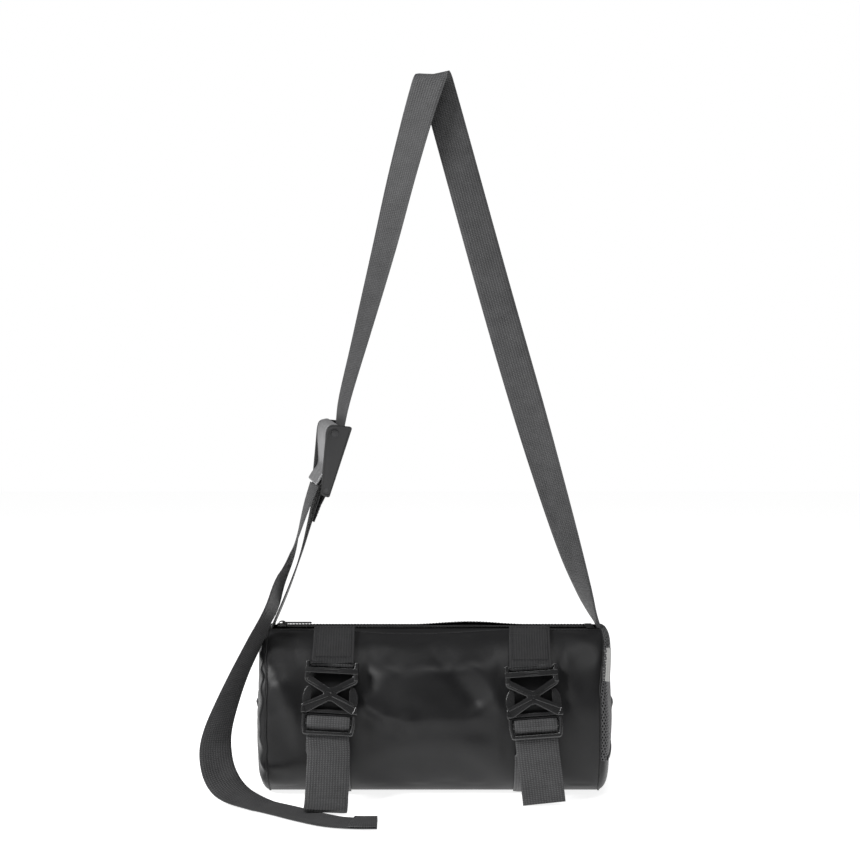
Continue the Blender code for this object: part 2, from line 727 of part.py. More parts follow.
# then over the high point where something outside the bag carries it, and down to the right end:
# x, y, z, and the turn of its width from the X axis towards the front, in degrees
ROUTE = (
    (-0.0857, -0.0010, 0.3640, 66.0),
    (-0.0700, -0.0020, 0.4230, 56.0),
    (-0.0485, -0.0030, 0.5050, 42.0),
    (-0.0325, -0.0045, 0.5700, 33.0),
    (-0.0180, -0.0055, 0.6240, 25.0),
    (-0.0085, -0.0055, 0.6560, 17.0),
    (-0.0045, -0.0045, 0.6675, 12.0),
    (-0.0020, 0.0000, 0.6722, 7.0),
    (0.0010, 0.0045, 0.6675, 3.0),
    (0.0045, 0.0055, 0.6560, 2.0),
    (0.0140, 0.0055, 0.6220, 2.0),
    (0.0460, 0.0030, 0.5050, 6.0),
    (0.0660, 0.0010, 0.4330, 9.0),
    (0.0865, 0.0000, 0.3616, 17.0),
    (0.1080, 0.0000, 0.2880, 33.0),
    (0.1290, 0.0000, 0.2185, 50.0),
    (0.1420, 0.0000, 0.1800, 66.0),
    (0.1490, 0.0000, 0.1610, 78.0),
    (0.1532, 0.0000, 0.1490, 88.0),
)
knots = [(*adjuster_point(w, v), 72.0) for w, v in CAM_PATH] + [tuple(p) for p in ROUTE]
long_curve = smooth_path(knots, 5)
long_points = [p[:3] for p in long_curve]
DIP_START = 60.0  # past this turn the strap's width leans with the cam buckle
DIP_SPAN = 12.0
DIP_FULL = -0.16
long_edges = []
for x, _, _, turn in long_curve:
    angle = math.radians(turn)
    share = max(0.0, (turn - DIP_START) / DIP_SPAN) if x < 0 else 0.0
    long_edges.append((math.cos(angle), -math.sin(angle), DIP_FULL * share))
strip("shoulder_strap_long", long_points, long_edges, STRAP_WIDTH, STRAP_THICK, WEBBING)

# the strap's free tail: x, y, z, then the direction across its width
TAIL = (
    (-0.1146, -0.0020, 0.2816, 0.303, -0.940, -0.160),
    (-0.1217, -0.0020, 0.2616, 0.240, -0.965, -0.090),
    (-0.1298, -0.0020, 0.2330, 0.090, -0.990, -0.040),
    (-0.1360, -0.0020, 0.2130, -0.080, -0.990, 0.020),
    (-0.1442, -0.0130, 0.1911, -0.140, -0.985, 0.060),
    (-0.1520, -0.0400, 0.1667, -0.220, -0.970, 0.100),
    (-0.1640, -0.0510, 0.1406, -0.330, -0.930, 0.150),
    (-0.1765, -0.0590, 0.1145, -0.380, -0.900, 0.200),
    (-0.1873, -0.0635, 0.0882, -0.510, -0.840, 0.220),
    (-0.1962, -0.0665, 0.0612, -0.690, -0.710, 0.170),
    (-0.1977, -0.0700, 0.0400, -0.840, -0.520, 0.100),
    (-0.1915, -0.0760, 0.0208, -0.860, -0.500, -0.060),
    (-0.1772, -0.0830, 0.0080, -0.740, -0.670, -0.080),
    (-0.1531, -0.0970, 0.0022, -0.620, -0.780, 0.000),
    (-0.1316, -0.1126, 0.0014, -0.600, -0.800, 0.000),
    (-0.1090, -0.1307, 0.0014, -0.560, -0.830, 0.000),
    (-0.0871, -0.1450, 0.0014, -0.350, -0.940, 0.000),
    (-0.0665, -0.1500, 0.0014, -0.120, -0.990, 0.000),
    (-0.0489, -0.1500, 0.0014, -0.050, -1.000, 0.000),
)
tail_curve = smooth_path(TAIL, 5)
strip(
    "strap_tail",
    [p[:3] for p in tail_curve],
    [p[3:] for p in tail_curve],
    STRAP_WIDTH,
    STRAP_THICK,
    WEBBING,
    floor=0.0006,
)
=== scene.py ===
"""Looks for the barrel shoulder bag: nylon shell, webbing, buckles, cam buckle, zip and mesh end.

Everything is in metres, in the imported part's frame: +X along the barrel to its mesh end, the front
towards -Y, +Z up, the origin at the centre of the flat base.
"""

import math

import bmesh
import bpy
import numpy as np
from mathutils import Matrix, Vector, noise


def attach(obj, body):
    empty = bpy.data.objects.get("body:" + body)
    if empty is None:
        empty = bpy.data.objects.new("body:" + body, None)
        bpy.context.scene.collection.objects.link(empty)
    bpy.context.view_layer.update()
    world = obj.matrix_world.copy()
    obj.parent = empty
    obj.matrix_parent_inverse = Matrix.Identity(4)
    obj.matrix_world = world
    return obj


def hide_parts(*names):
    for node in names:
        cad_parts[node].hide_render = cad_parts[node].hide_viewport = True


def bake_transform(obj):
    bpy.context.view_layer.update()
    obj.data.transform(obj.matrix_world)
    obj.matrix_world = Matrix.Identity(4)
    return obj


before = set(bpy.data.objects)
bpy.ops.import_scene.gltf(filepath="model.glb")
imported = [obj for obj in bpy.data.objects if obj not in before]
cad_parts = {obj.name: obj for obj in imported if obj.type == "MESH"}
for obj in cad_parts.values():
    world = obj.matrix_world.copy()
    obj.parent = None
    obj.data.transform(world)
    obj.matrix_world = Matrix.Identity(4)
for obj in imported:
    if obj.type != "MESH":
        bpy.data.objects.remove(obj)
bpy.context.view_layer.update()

# ---- driving dimensions, the same as the part's ------------------------------------
HALF_DEPTH = 0.077
CENTRE_Z = 0.0725
TOP_Z = 0.148
SAG_DEPTH = 0.0763
SLOT_HALF = 0.0160
DOME_RISE = 0.0170
MESH_EDGE_Z = 0.0365
STRAP_WIDTH = 0.032
STRAP_THICK = 0.0016
FRONT_WIDTH = 0.038
FRONT_THICK = 0.0015
BUCKLE_TILT = math.radians(16.0)
BUCKLE_MID_V = 0.0105
HIDDEN_BAR_V = 0.0443
SETS = {
    "left": ((-0.0940, -0.0815, 0.0898), math.radians(3.0)),
    "right": ((0.0882, -0.0815, 0.0870), math.radians(-4.0)),
}
PIN_CENTRE = np.array((-0.0997, 0.0, 0.3330))
ADJUSTER_U = (-0.303, 0.939, 0.1616)
ADJUSTER_V = (0.153, -0.119, 0.981)

# ---- camera ------------------------------------------------------------------------
CAMERA_AT = (-0.0046, -1.28, 0.333)
camera_data = bpy.data.cameras.new("camera")
camera_data.lens = 56.2
camera_data.clip_start = 0.05
camera_data.clip_end = 50.0
camera = bpy.data.objects.new("camera", camera_data)
camera.location = CAMERA_AT
camera.rotation_euler = (math.radians(90.0), 0.0, 0.0)
bpy.context.scene.collection.objects.link(camera)
bpy.context.scene.camera = camera


# ---- geometry helpers --------------------------------------------------------------
def unit(vector):
    vector = np.array(vector, float)
    return vector / max(np.linalg.norm(vector), 1e-12)


def local_frame(origin, u, v):
    u = unit(u)
    v = unit(np.array(v) - u * np.dot(u, v))
    return np.array(origin, float), u, v, np.cross(u, v)


def to_world(axes, u, v, n):
    origin, axis_u, axis_v, axis_n = axes
    return origin + axis_u * u + axis_v * v + axis_n * n


def smooth_path(points, per_segment):
    """A Catmull-Rom curve through points of any dimension."""
    points = [np.array(p, float) for p in points]
    ends = [2 * points[0] - points[1]] + points + [2 * points[-1] - points[-2]]
    curve = []
    for k in range(1, len(ends) - 2):
        a, b, c, d = ends[k - 1 : k + 3]
        for step in range(per_segment):
            t = step / per_segment
            curve.append(
                0.5
                * (
                    2 * b
                    + (c - a) * t
                    + (2 * a - 5 * b + 4 * c - d) * t**2
                    + (3 * b - a - 3 * c + d) * t**3
                )
            )
    curve.append(points[-1])
    return curve


def place_mesh(name, mesh):
    """Puts a mesh into the scene as a smooth-shaded object."""
    built = bpy.data.objects.new(name, mesh)
    bpy.context.scene.collection.objects.link(built)
    for polygon in mesh.polygons:
        polygon.use_smooth = True
    return built


def smooth_strip(points, edges, per_segment):
    """Smooth centre line and directions across, from knots of each."""
    curve = smooth_path([np.concatenate([p, e]) for p, e in zip(points, edges)], per_segment)
    return [p[:3] for p in curve], [p[3:] for p in curve]


def make_object(name, vertices, faces):
    mesh = bpy.data.meshes.new(name)
    mesh.from_pydata([tuple(float(c) for c in v) for v in vertices], [], faces)
    mesh.update()
    return place_mesh(name, mesh)


def tidy_normals(built):
    shape = bmesh.new()
    shape.from_mesh(built.data)
    bmesh.ops.recalc_face_normals(shape, faces=shape.faces[:])
    shape.to_mesh(built.data)
    shape.free()
    return built


def apply_modifiers(built):
    """Bakes a piece's modifiers into its mesh."""
    bpy.context.view_layer.update()
    depsgraph = bpy.context.evaluated_depsgraph_get()
    mesh = bpy.data.meshes.new_from_object(built.evaluated_get(depsgraph))
    built.modifiers.clear()
    built.data = mesh
    return built


def join(name, pieces):
    """One object from several meshes, keeping materials and UVs."""
    bpy.ops.object.select_all(action="DESELECT")
    for piece in pieces:
        piece.select_set(True)
    bpy.context.view_layer.objects.active = pieces[0]
    if len(pieces) > 1:
        bpy.ops.object.join()
    pieces[0].name = name
    pieces[0].data.name = name
    return pieces[0]


def finish_piece(built, material, body, nodes=()):
    if material is not None:
        built.data.materials.clear()
        built.data.materials.append(material)
    if body:
        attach(built, body)
    if nodes:
        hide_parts(*nodes)
    return built


# ---- materials ---------------------------------------------------------------------
RIB_PITCH = 0.0024
WEFT_PITCH = 0.0016
WAVE_PERIODS = 3.2  # a wave texture's bands in one unit of its scale
YARN_SCALE = 620.0  # wave scale of the plain weave
GRAIN_SCALE = 2800.0
GRAIN_DEPTH = 0.00006
BLACK, WHITE = (0, 0, 0), (1, 1, 1)
WAVE, NOISE = "ShaderNodeTexWave", "ShaderNodeTexNoise"


def new_material(name):
    material = bpy.data.materials.new(name)
    material.use_nodes = True
    tree = material.node_tree
    return material, tree, tree.nodes["Principled BSDF"]


def node(tree, kind, **settings):
    made = tree.nodes.new(kind)
    for key, value in settings.items():
        if key.startswith("in_"):
            made.inputs[key[3:].replace("_", " ")].default_value = value
        else:
            setattr(made, key, value)
    return made


def math_node(tree, operation, first, second):
    made = tree.nodes.new("ShaderNodeMath")
    made.operation = operation
    for index, value in enumerate((first, second)):
        if isinstance(value, (int, float)):
            made.inputs[index].default_value = value
        else:
            tree.links.new(value, made.inputs[index])
    return made.outputs[0]


def ramp(tree, source, stops):
    made = tree.nodes.new("ShaderNodeValToRGB")
    while len(made.color_ramp.elements) < len(stops):
        made.color_ramp.elements.new(0.5)
    for element, (position, colour) in zip(made.color_ramp.elements, stops):
        element.position = position
        element.color = (*colour, 1.0)
    tree.links.new(source, made.inputs[0])
    return made.outputs[0]


def bump(tree, shader, height, strength, distance, below=None):
    made = tree.nodes.new("ShaderNodeBump")
    made.inputs["Strength"].default_value = strength
    made.inputs["Distance"].default_value = distance
    tree.links.new(height, made.inputs["Height"])
    if below is not None:
        tree.links.new(below, made.inputs["Normal"])
    tree.links.new(made.outputs[0], shader.inputs["Normal"])
    return made.outputs[0]


def vary_gloss(tree, shader, source, low, high):
    gloss = node(tree, "ShaderNodeMapRange", in_To_Min=low, in_To_Max=high)
    tree.links.new(source, gloss.inputs["Value"])
    tree.links.new(gloss.outputs[0], shader.inputs["Roughness"])


def set_inputs(shader, **values):
    for key, value in values.items():
        shader.inputs[key.replace("_", " ")].default_value = value


def nylon_material(name, dark, light, roughness, sheen):
    """Plain-woven satin nylon with soft mottling, in object coordinates."""
    material, tree, shader = new_material(name)
    place = tree.nodes.new("ShaderNodeTexCoord").outputs["Object"]
    cloud = node(tree, NOISE, in_Scale=26.0, in_Detail=4.0, in_Roughness=0.6)
    tree.links.new(place, cloud.inputs["Vector"])
    colour = ramp(tree, cloud.outputs[0], ((0.30, dark), (0.72, light)))
    tree.links.new(colour, shader.inputs["Base Color"])
    vary_gloss(tree, shader, cloud.outputs[0], roughness - 0.05, roughness + 0.09)
    set_inputs(shader, Sheen_Weight=sheen, Sheen_Roughness=0.35, Specular_IOR_Level=0.30)
    warp, weft, side = (node(tree, WAVE, bands_direction=way, in_Scale=YARN_SCALE) for way in "XZY")
    for texture in (warp, weft, side):
        tree.links.new(place, texture.inputs["Vector"])
    woven = math_node(tree, "ADD", warp.outputs["Fac"], weft.outputs["Fac"])
    woven = math_node(tree, "ADD", woven, side.outputs["Fac"])
    crumple = node(tree, NOISE, in_Scale=70.0, in_Detail=3.0, in_Roughness=0.5)
    tree.links.new(place, crumple.inputs["Vector"])
    first = bump(tree, shader, crumple.outputs[0], 0.08, 0.0014)
    bump(tree, shader, woven, 0.10, 0.00012, first)
    return material


def webbing_material(name, dark, light, roughness, sheen, relief=0.7):
    """Ribbed webbing: UVs are metres along and across the strap."""
    material, tree, shader = new_material(name)
    uv = tree.nodes.new("ShaderNodeTexCoord").outputs["UV"]
    rib_scale, weft_scale = (1.0 / pitch / WAVE_PERIODS for pitch in (RIB_PITCH, WEFT_PITCH))
    ribs = node(tree, WAVE, bands_direction="Y", in_Scale=rib_scale, in_Distortion=0.5)
    weft = node(tree, WAVE, bands_direction="X", in_Scale=weft_scale, in_Distortion=0.8)
    for texture in (ribs, weft):
        tree.links.new(uv, texture.inputs["Vector"])
    place = tree.nodes.new("ShaderNodeTexCoord").outputs["Object"]
    cloud = node(tree, NOISE, in_Scale=60.0, in_Detail=5.0, in_Roughness=0.65)
    tree.links.new(place, cloud.inputs["Vector"])
    woven = math_node(tree, "MULTIPLY", ribs.outputs["Fac"], weft.outputs["Fac"])
    tone = math_node(tree, "MULTIPLY", woven, 0.55)
    tone = math_node(tree, "ADD", tone, math_node(tree, "MULTIPLY", cloud.outputs[0], 0.5))
    colour = ramp(tree, tone, ((0.20, dark), (0.72, light)))
    tree.links.new(colour, shader.inputs["Base Color"])
    set_inputs(shader, Roughness=roughness, Sheen_Weight=sheen, Sheen_Roughness=0.5, Specular_IOR_Level=0.28)
    height = math_node(tree, "ADD", ribs.outputs["Fac"], weft.outputs["Fac"])
    fuzz = bump(tree, shader, cloud.outputs[0], 0.10, 0.0008)
    bump(tree, shader, height, relief, 0.0003, fuzz)
    return material


def solid_material(name, dark, light, roughness, metallic=0.0, coat=0.0):
    """Moulded plastic or coated metal: slight tone and gloss changes, fine grain, rubbed edges."""
    material, tree, shader = new_material(name)
    place = tree.nodes.new("ShaderNodeTexCoord").outputs["Object"]
    cloud = node(tree, NOISE, in_Scale=45.0, in_Detail=4.0, in_Roughness=0.55)
    tree.links.new(place, cloud.inputs["Vector"])
    colour = ramp(tree, cloud.outputs[0], ((0.30, dark), (0.75, light)))
    edge = tree.nodes.new("ShaderNodeNewGeometry").outputs["Pointiness"]
    worn = ramp(tree, edge, ((0.52, BLACK), (0.60, WHITE)))
    rub = tree.nodes.new("ShaderNodeMix")
    rub.data_type = "RGBA"
    tree.links.new(math_node(tree, "MULTIPLY", worn, 0.35), rub.inputs["Factor"])
    tree.links.new(colour, rub.inputs[6])
    rub.inputs[7].default_value = (*[min(1.0, c * 2.2 + 0.01) for c in light], 1.0)
    tree.links.new(rub.outputs[2], shader.inputs["Base Color"])
    vary_gloss(tree, shader, cloud.outputs[0], roughness - 0.06, roughness + 0.08)
    set_inputs(shader, Metallic=metallic, Coat_Weight=coat, Coat_Roughness=0.25)
    fine = node(tree, NOISE, in_Scale=GRAIN_SCALE, in_Detail=2.0)
    tree.links.new(place, fine.inputs["Vector"])
    bump(tree, shader, fine.outputs[0], 0.25, GRAIN_DEPTH)
    return material


NYLON = nylon_material("nylon", (0.0060, 0.0060, 0.0066), (0.0105, 0.0105, 0.0112), 0.44, 0.03)
NYLON_TRIM = nylon_material("nylon_trim", (0.006, 0.006, 0.0065), (0.010, 0.010, 0.0105), 0.50, 0.03)
LINING_CLOTH = nylon_material("lining_cloth", (0.008, 0.008, 0.009), (0.012, 0.012, 0.013), 0.8, 0.0)
MESH_YARN = nylon_material("mesh_yarn", (0.050, 0.050, 0.052), (0.085, 0.085, 0.087), 0.5, 0.10)
WEBBING = webbing_material("webbing", (0.030, 0.030, 0.031), (0.080, 0.080, 0.082), 0.5, 0.10, 0.5)
TAB_WEBBING = webbing_material("tab_webbing", (0.014, 0.014, 0.015), (0.040, 0.040, 0.041), 0.5, 0.04)
THREAD = webbing_material("thread", (0.050, 0.050, 0.052), (0.090, 0.090, 0.092), 0.6, 0.1, 0.2)
DARK_THREAD = webbing_material("dark_thread", (0.014, 0.014, 0.015), (0.03, 0.03, 0.031), 0.6, 0.0, 0.2)
PLASTIC = solid_material("buckle_plastic", (0.007, 0.007, 0.0075), (0.011, 0.011, 0.0115), 0.24, coat=0.6)
COATED = solid_material("coated_metal", (0.016, 0.016, 0.017), (0.024, 0.024, 0.025), 0.40, 0.3, 0.15)
# painted reflection: the cam lever's light grey base colour stands in for the white surroundings reflected
# at a grazing angle off a black lever
LEVER_PAINTED_REFLECTION = solid_material("lever_metal", (0.26, 0.26, 0.265), (0.34, 0.34, 0.345), 0.42, 0.6)
BRIGHT = solid_material("bright_metal", (0.50, 0.50, 0.49), (0.62, 0.62, 0.61), 0.22, 1.0)
ZIP_METAL = solid_material("zip_metal", (0.10, 0.10, 0.10), (0.17, 0.17, 0.17), 0.30, 1.0)
LABEL_CLOTH = webbing_material("label_cloth", (0.30, 0.30, 0.295), (0.42, 0.42, 0.41), 0.8, 0.1, 0.25)



# ---- webbing and stitches ----------------------------------------------------------
def resample(points, edges, step):
    points, edges = np.array(points, float), np.array(edges, float)
    lengths = np.concatenate([[0], np.cumsum(np.linalg.norm(np.diff(points, axis=0), axis=1))])
    count = max(2, int(round(lengths[-1] / step)) + 1)
    at = np.linspace(0, lengths[-1], count)
    spread = [np.interp(at, lengths, points[:, k]) for k in range(3)]
    turned = [np.interp(at, lengths, edges[:, k]) for k in range(3)]
    return np.stack(spread, axis=1), np.stack(turned, axis=1), at


def webbing(name, points, edges, width, thick, step=0.0022, floor=None, cup=0.0, columns=10):
    """A flat strap with rounded selvedges. Returns it and its lay: points, across, normals, lengths."""
    line, across, at = resample(points, edges, step)
    count = len(line)
    tangents = np.zeros_like(line)
    tangents[1:-1] = line[2:] - line[:-2]
    tangents[0], tangents[-1] = line[1] - line[0], line[-1] - line[-2]
    tangents /= np.linalg.norm(tangents, axis=1)[:, None]
    across -= tangents * np.sum(across * tangents, axis=1)[:, None]
    across /= np.linalg.norm(across, axis=1)[:, None]
    normals = np.cross(tangents, across)
    profile = []
    for k in range(columns + 1):
        a = width * (k / columns - 0.5)
        profile.append((a, 0.5 - 0.30 * (abs(2 * a / width) > 0.999)))
    for k in range(columns, -1, -1):
        a = width * (k / columns - 0.5)
        profile.append((a, -0.5 + 0.30 * (abs(2 * a / width) > 0.999)))
    ring = len(profile)
    vertices, uvs = [], []
    for k in range(count):
        rows = []
        for a, b in profile:
            bow = cup * (1 - (2 * a / width) ** 2)
            rows.append(line[k] + across[k] * a + normals[k] * (b * thick + bow))
        if floor is not None:
            lift = max(0.0, floor - min(row[2] for row in rows))
            rows = [row + np.array((0.0, 0.0, lift)) for row in rows]
            line[k][2] += lift
        vertices.extend(rows)
        uvs.extend([(at[k], a) for a, _ in profile])
    faces = []
    for k in range(count - 1):
        for side in range(ring):
            a, b = k * ring + side, k * ring + (side + 1) % ring
            faces.append((a, b, b + ring, a + ring))
    for k in (0, count - 1):
        for side in range(columns):
            a, b = k * ring + side, k * ring + side + 1
            c, d = k * ring + ring - 2 - side, k * ring + ring - 1 - side
            faces.append((a, b, c, d))
    built = make_object(name, vertices, faces)
    layer = built.data.uv_layers.new(name="UVMap")
    for loop in built.data.loops:
        layer.data[loop.index].uv = uvs[loop.vertex_index]
    tidy_normals(built)
    sharp = built.modifiers.new("edges", "BEVEL")
    sharp.width = 0.00028
    sharp.segments = 2
    sharp.limit_method = "ANGLE"
    sharp.angle_limit = math.radians(50)
    apply_modifiers(built)
    return built, (line, across, normals, at, thick)


def lay_at(lay, s):
    """Point, direction across, normal and thickness at a length along a strap."""
    line, across, normals, at, thick = lay
    parts = []
    for values in (line, across, normals):
        parts.append(np.array([np.interp(s, at, values[:, k]) for k in range(3)]))
    normal = unit(parts[2])
    return parts[0], unit(parts[1]), normal, thick


def stitches(name, runs, pitch=0.0030, length=0.0021, radius=0.00026, proud=0.00008):
    """Thread laid in runs. Each run is a list of (point, normal)."""
    vertices, faces = [], []
    for run in runs:
        points = np.array([p for p, _ in run], float)
        normals = np.array([n for _, n in run], float)
        gaps = np.linalg.norm(np.diff(points, axis=0), axis=1)
        lengths = np.concatenate([[0], np.cumsum(gaps)])
        count = max(1, int(lengths[-1] / pitch))
        for k in range(count):
            middle = (k + 0.5) * lengths[-1] / count
            ends = []
            for s in (middle - length / 2, middle, middle + length / 2):
                p = np.array([np.interp(s, lengths, points[:, i]) for i in range(3)])
                n = unit([np.interp(s, lengths, normals[:, i]) for i in range(3)])
                ends.append((p, n))
            along = unit(ends[2][0] - ends[0][0])
            start = len(vertices)
            for (p, n), size, lift in zip(ends, (0.55, 1.0, 0.55), (-0.6, 0.35, -0.6)):
                side = unit(np.cross(along, n))
                centre = p + n * (proud + lift * radius)
                for corner in range(6):
                    angle = math.pi / 3 * corner
                    offset = side * math.cos(angle) + n * math.sin(angle)
                    vertices.append(centre + offset * radius * size)
            for section in range(2):
                for corner in range(6):
                    a = start + section * 6 + corner
                    b = start + section * 6 + (corner + 1) % 6
                    faces.append((a, b, b + 6, a + 6))
            faces.append(tuple(start + 5 - corner for corner in range(6)))
            faces.append(tuple(start + 12 + corner for corner in range(6)))
    return tidy_normals(make_object(name, vertices, faces))


def run_on(lay, corners, side, steps=24):
    """A stitch run over a strap through (length, across) corners."""
    run = []
    for (s0, a0), (s1, a1) in zip(corners[:-1], corners[1:]):
        for k in range(steps + 1):
            share = k / steps
            point, across, normal, thick = lay_at(lay, s0 + (s1 - s0) * share)
            offset = across * (a0 + (a1 - a0) * share) + normal * side * thick / 2
            run.append((point + offset, normal * side))
    return run


# ---- the shoulder strap's free tail comes first ------------------------------------
# x, y, z, then the direction across its width: the part's own route
TAIL = (
    (-0.1146, -0.0020, 0.2816, 0.303, -0.940, -0.160), (-0.1217, -0.0020, 0.2616, 0.240, -0.965, -0.090),
    (-0.1298, -0.0020, 0.2330, 0.090, -0.990, -0.040), (-0.1360, -0.0020, 0.2130, -0.080, -0.990, 0.020),
    (-0.1442, -0.0130, 0.1911, -0.140, -0.985, 0.060), (-0.1520, -0.0400, 0.1667, -0.220, -0.970, 0.100),
    (-0.1640, -0.0510, 0.1406, -0.330, -0.930, 0.150), (-0.1765, -0.0590, 0.1145, -0.380, -0.900, 0.200),
    (-0.1873, -0.0635, 0.0882, -0.510, -0.840, 0.220), (-0.1962, -0.0665, 0.0612, -0.690, -0.710, 0.170),
    (-0.1977, -0.0700, 0.0400, -0.840, -0.520, 0.100), (-0.1915, -0.0760, 0.0208, -0.860, -0.500, -0.060),
    (-0.1772, -0.0830, 0.0080, -0.740, -0.670, -0.080), (-0.1531, -0.0970, 0.0022, -0.620, -0.780, 0.000),
    (-0.1316, -0.1126, 0.0014, -0.600, -0.800, 0.000), (-0.1090, -0.1307, 0.0014, -0.560, -0.830, 0.000),
    (-0.0871, -0.1450, 0.0014, -0.350, -0.940, 0.000), (-0.0665, -0.1500, 0.0014, -0.120, -0.990, 0.000),
    (-0.0489, -0.1500, 0.0014, -0.050, -1.000, 0.000),
)
FLOOR_GAP = 0.0006
HEM = 0.022  # a webbing end is folded back this far and sewn
HEM_INSET = 0.0006  # the folded part is this much narrower
LAY_CLOSE = 0.98  # spacing of two layers, in thicknesses


def make_tail():
    curve = smooth_path(TAIL, 6)
    line, across = [p[:3] for p in curve], [p[3:] for p in curve]
    tail, lay = webbing(
        "strap_tail_webbing", line, across, STRAP_WIDTH, STRAP_THICK, floor=FLOOR_GAP, cup=0.0006
    )
    finish_piece(tail, WEBBING, "bag", ["strap_tail"])
    length = lay[3][-1]
    rows = [length - HEM * share for share in (0.30, 0.86)]
    half = STRAP_WIDTH / 2 - 0.0025
    runs = [run_on(lay, [(s, -half), (s, half)], side) for s in rows for side in (1, -1)]
    thread = finish_piece(stitches("tail_hem_thread", runs), THREAD, "bag")
    end = [lay_at(lay, length - HEM * k / 8) for k in range(9)]
    normal_up = 1.0 if end[0][2][2] > 0 else -1.0
    fold_line = [p + n * normal_up * STRAP_THICK * LAY_CLOSE for p, _, n, _ in end]
    edges = [a for _, a, _, _ in end]
    hem, _ = webbing("strap_tail_hem", fold_line, edges, STRAP_WIDTH - HEM_INSET, STRAP_THICK)
    finish_piece(hem, WEBBING, "bag")


make_tail()


# ---- the barrel --------------------------------------------------------------------
ACROSS = 132  # points round the barrel
DOME_RINGS = 15
TUBE_RINGS = 84
SEAM_X = 0.1522
SKIN_INSET = 0.0006
SKIN_FLOOR = 0.0008  # the skin's lowest height
DOME_FALL, DOME_FULLNESS = 3.4, 0.58  # how late and how roundly an end's rise falls off
CROWN_Z = 0.12  # the barrel above this height is the crown with the zip
SLOT_HOLD = (0.0185, 0.027)  # the zip's hold on the crown fades between these distances
SEAM_HOLD = (0.0010, 0.0045)
FLOOR_HOLD = (0.001, 0.010)
LANE_FADE = 0.010
STRAP_LANE = 0.024  # half the width that the front webbing and buckles hold down
FOLD_CAP = 0.0034  # the furthest that the cloth may swell
END_CAP = 0.0042
SOFTEN_PASSES = 8
FOLD_SPREAD = 1.25
# soft folds on the front: both ends of each as (x, z), half width, height (a valley's is negative)
FOLDS = (
    ((0.0000, 0.1310), (0.0350, 0.0900), 0.0060, -0.0024),
    ((0.0320, 0.1220), (0.0580, 0.0900), 0.0060, 0.0016),
    ((-0.0720, 0.0905), (-0.0460, 0.0765), 0.0048, 0.0024),
    ((-0.0460, 0.0765), (-0.0226, 0.0708), 0.0055, 0.0022),
    ((-0.0690, 0.0790), (-0.0360, 0.0650), 0.0050, -0.0024),
    ((-0.0226, 0.0708), (0.0330, 0.0760), 0.0060, 0.0012),
    ((0.0385, 0.0800), (0.0600, 0.0900), 0.0060, 0.0013),
    ((0.0400, 0.0650), (0.0440, 0.0630), 0.0085, -0.0012),
    ((-0.0710, 0.1260), (-0.0585, 0.1030), 0.0060, -0.0028),
    ((-0.0420, 0.1300), (-0.0300, 0.1180), 0.0060, -0.0014),
    ((-0.0180, 0.1000), (-0.0100, 0.0980), 0.0280, 0.0032),
    ((0.1110, 0.1270), (0.1256, 0.1030), 0.0060, 0.0026),
    ((0.1130, 0.0980), (0.1150, 0.0900), 0.0080, -0.0020),
    ((-0.1395, 0.1040), (-0.1220, 0.0573), 0.0060, 0.0028),
    ((-0.1366, 0.0600), (-0.1360, 0.0550), 0.0120, -0.0030),
    ((-0.1250, 0.1250), (-0.1140, 0.1120), 0.0065, 0.0016),
)
GATHERS = 23  # gathers round the left end seam
GATHER_FADE = 0.011
RIPPLE, RIPPLE_SCALE = 0.0012, 38
CLOTH_FRAMES = 26
CLOTH_SETTINGS = {
    "quality": 7,
    "mass": 0.25,
    "tension_stiffness": 14,
    "compression_stiffness": 14,
    "shear_stiffness": 5,
    "bending_stiffness": 0.9,
    "air_damping": 2.0,
    "vertex_group_mass": "held",
    "pin_stiffness": 4.0,
    "shrink_min": -0.045,
    "use_pressure": True,
    "uniform_pressure_force": 2.4,
}


def section(theta, inset=0.0):
    c, s = math.cos(theta), math.sin(theta)
    if s >= 0:
        return (HALF_DEPTH - inset) * c, CENTRE_Z + (TOP_Z - CENTRE_Z - inset) * s
    y = (HALF_DEPTH - inset) * math.copysign(abs(c) ** (2 / 3), c)
    z = CENTRE_Z - (SAG_DEPTH - inset) * abs(s) ** (2 / 3)
    return y, max(z, inset)


def half_width(z):
    if z >= CENTRE_Z:
        return HALF_DEPTH * math.sqrt(max(0.0, 1 - ((z - CENTRE_Z) / (TOP_Z - CENTRE_Z)) ** 2))
    return HALF_DEPTH * max(0.0, 1 - ((CENTRE_Z - z) / SAG_DEPTH) ** 3) ** (1 / 3)


def lane_x(name, z):
    """X of a front webbing set's centre at a height."""
    centre, lean = SETS[name]
    return centre[0] + math.tan(lean) * (z - centre[2])


def smooth_step(value, low, high):
    t = min(1.0, max(0.0, (value - low) / (high - low)))
    return t * t * (3 - 2 * t)


def barrel_points():
    rings = []
    for k in range(DOME_RINGS):
        scale = math.sin(math.pi / 2 * (k + 1) / (DOME_RINGS + 1))
        rise = DOME_RISE * (1 - scale**DOME_FALL) ** DOME_FULLNESS
        rings.append((-(SEAM_X + rise), scale))
    for k in range(TUBE_RINGS + 1):
        rings.append((SEAM_X * (2 * k / TUBE_RINGS - 1), 1.0))
    rings += [(-x, scale) for x, scale in rings[:DOME_RINGS][::-1]]
    points = []
    for x, scale in rings:
        for j in range(ACROSS):
            y, z = section(2 * math.pi * j / ACROSS, SKIN_INSET)
            points.append((x, y * scale, max(SKIN_FLOOR, CENTRE_Z + (z - CENTRE_Z) * scale)))
    return rings, np.array(points)


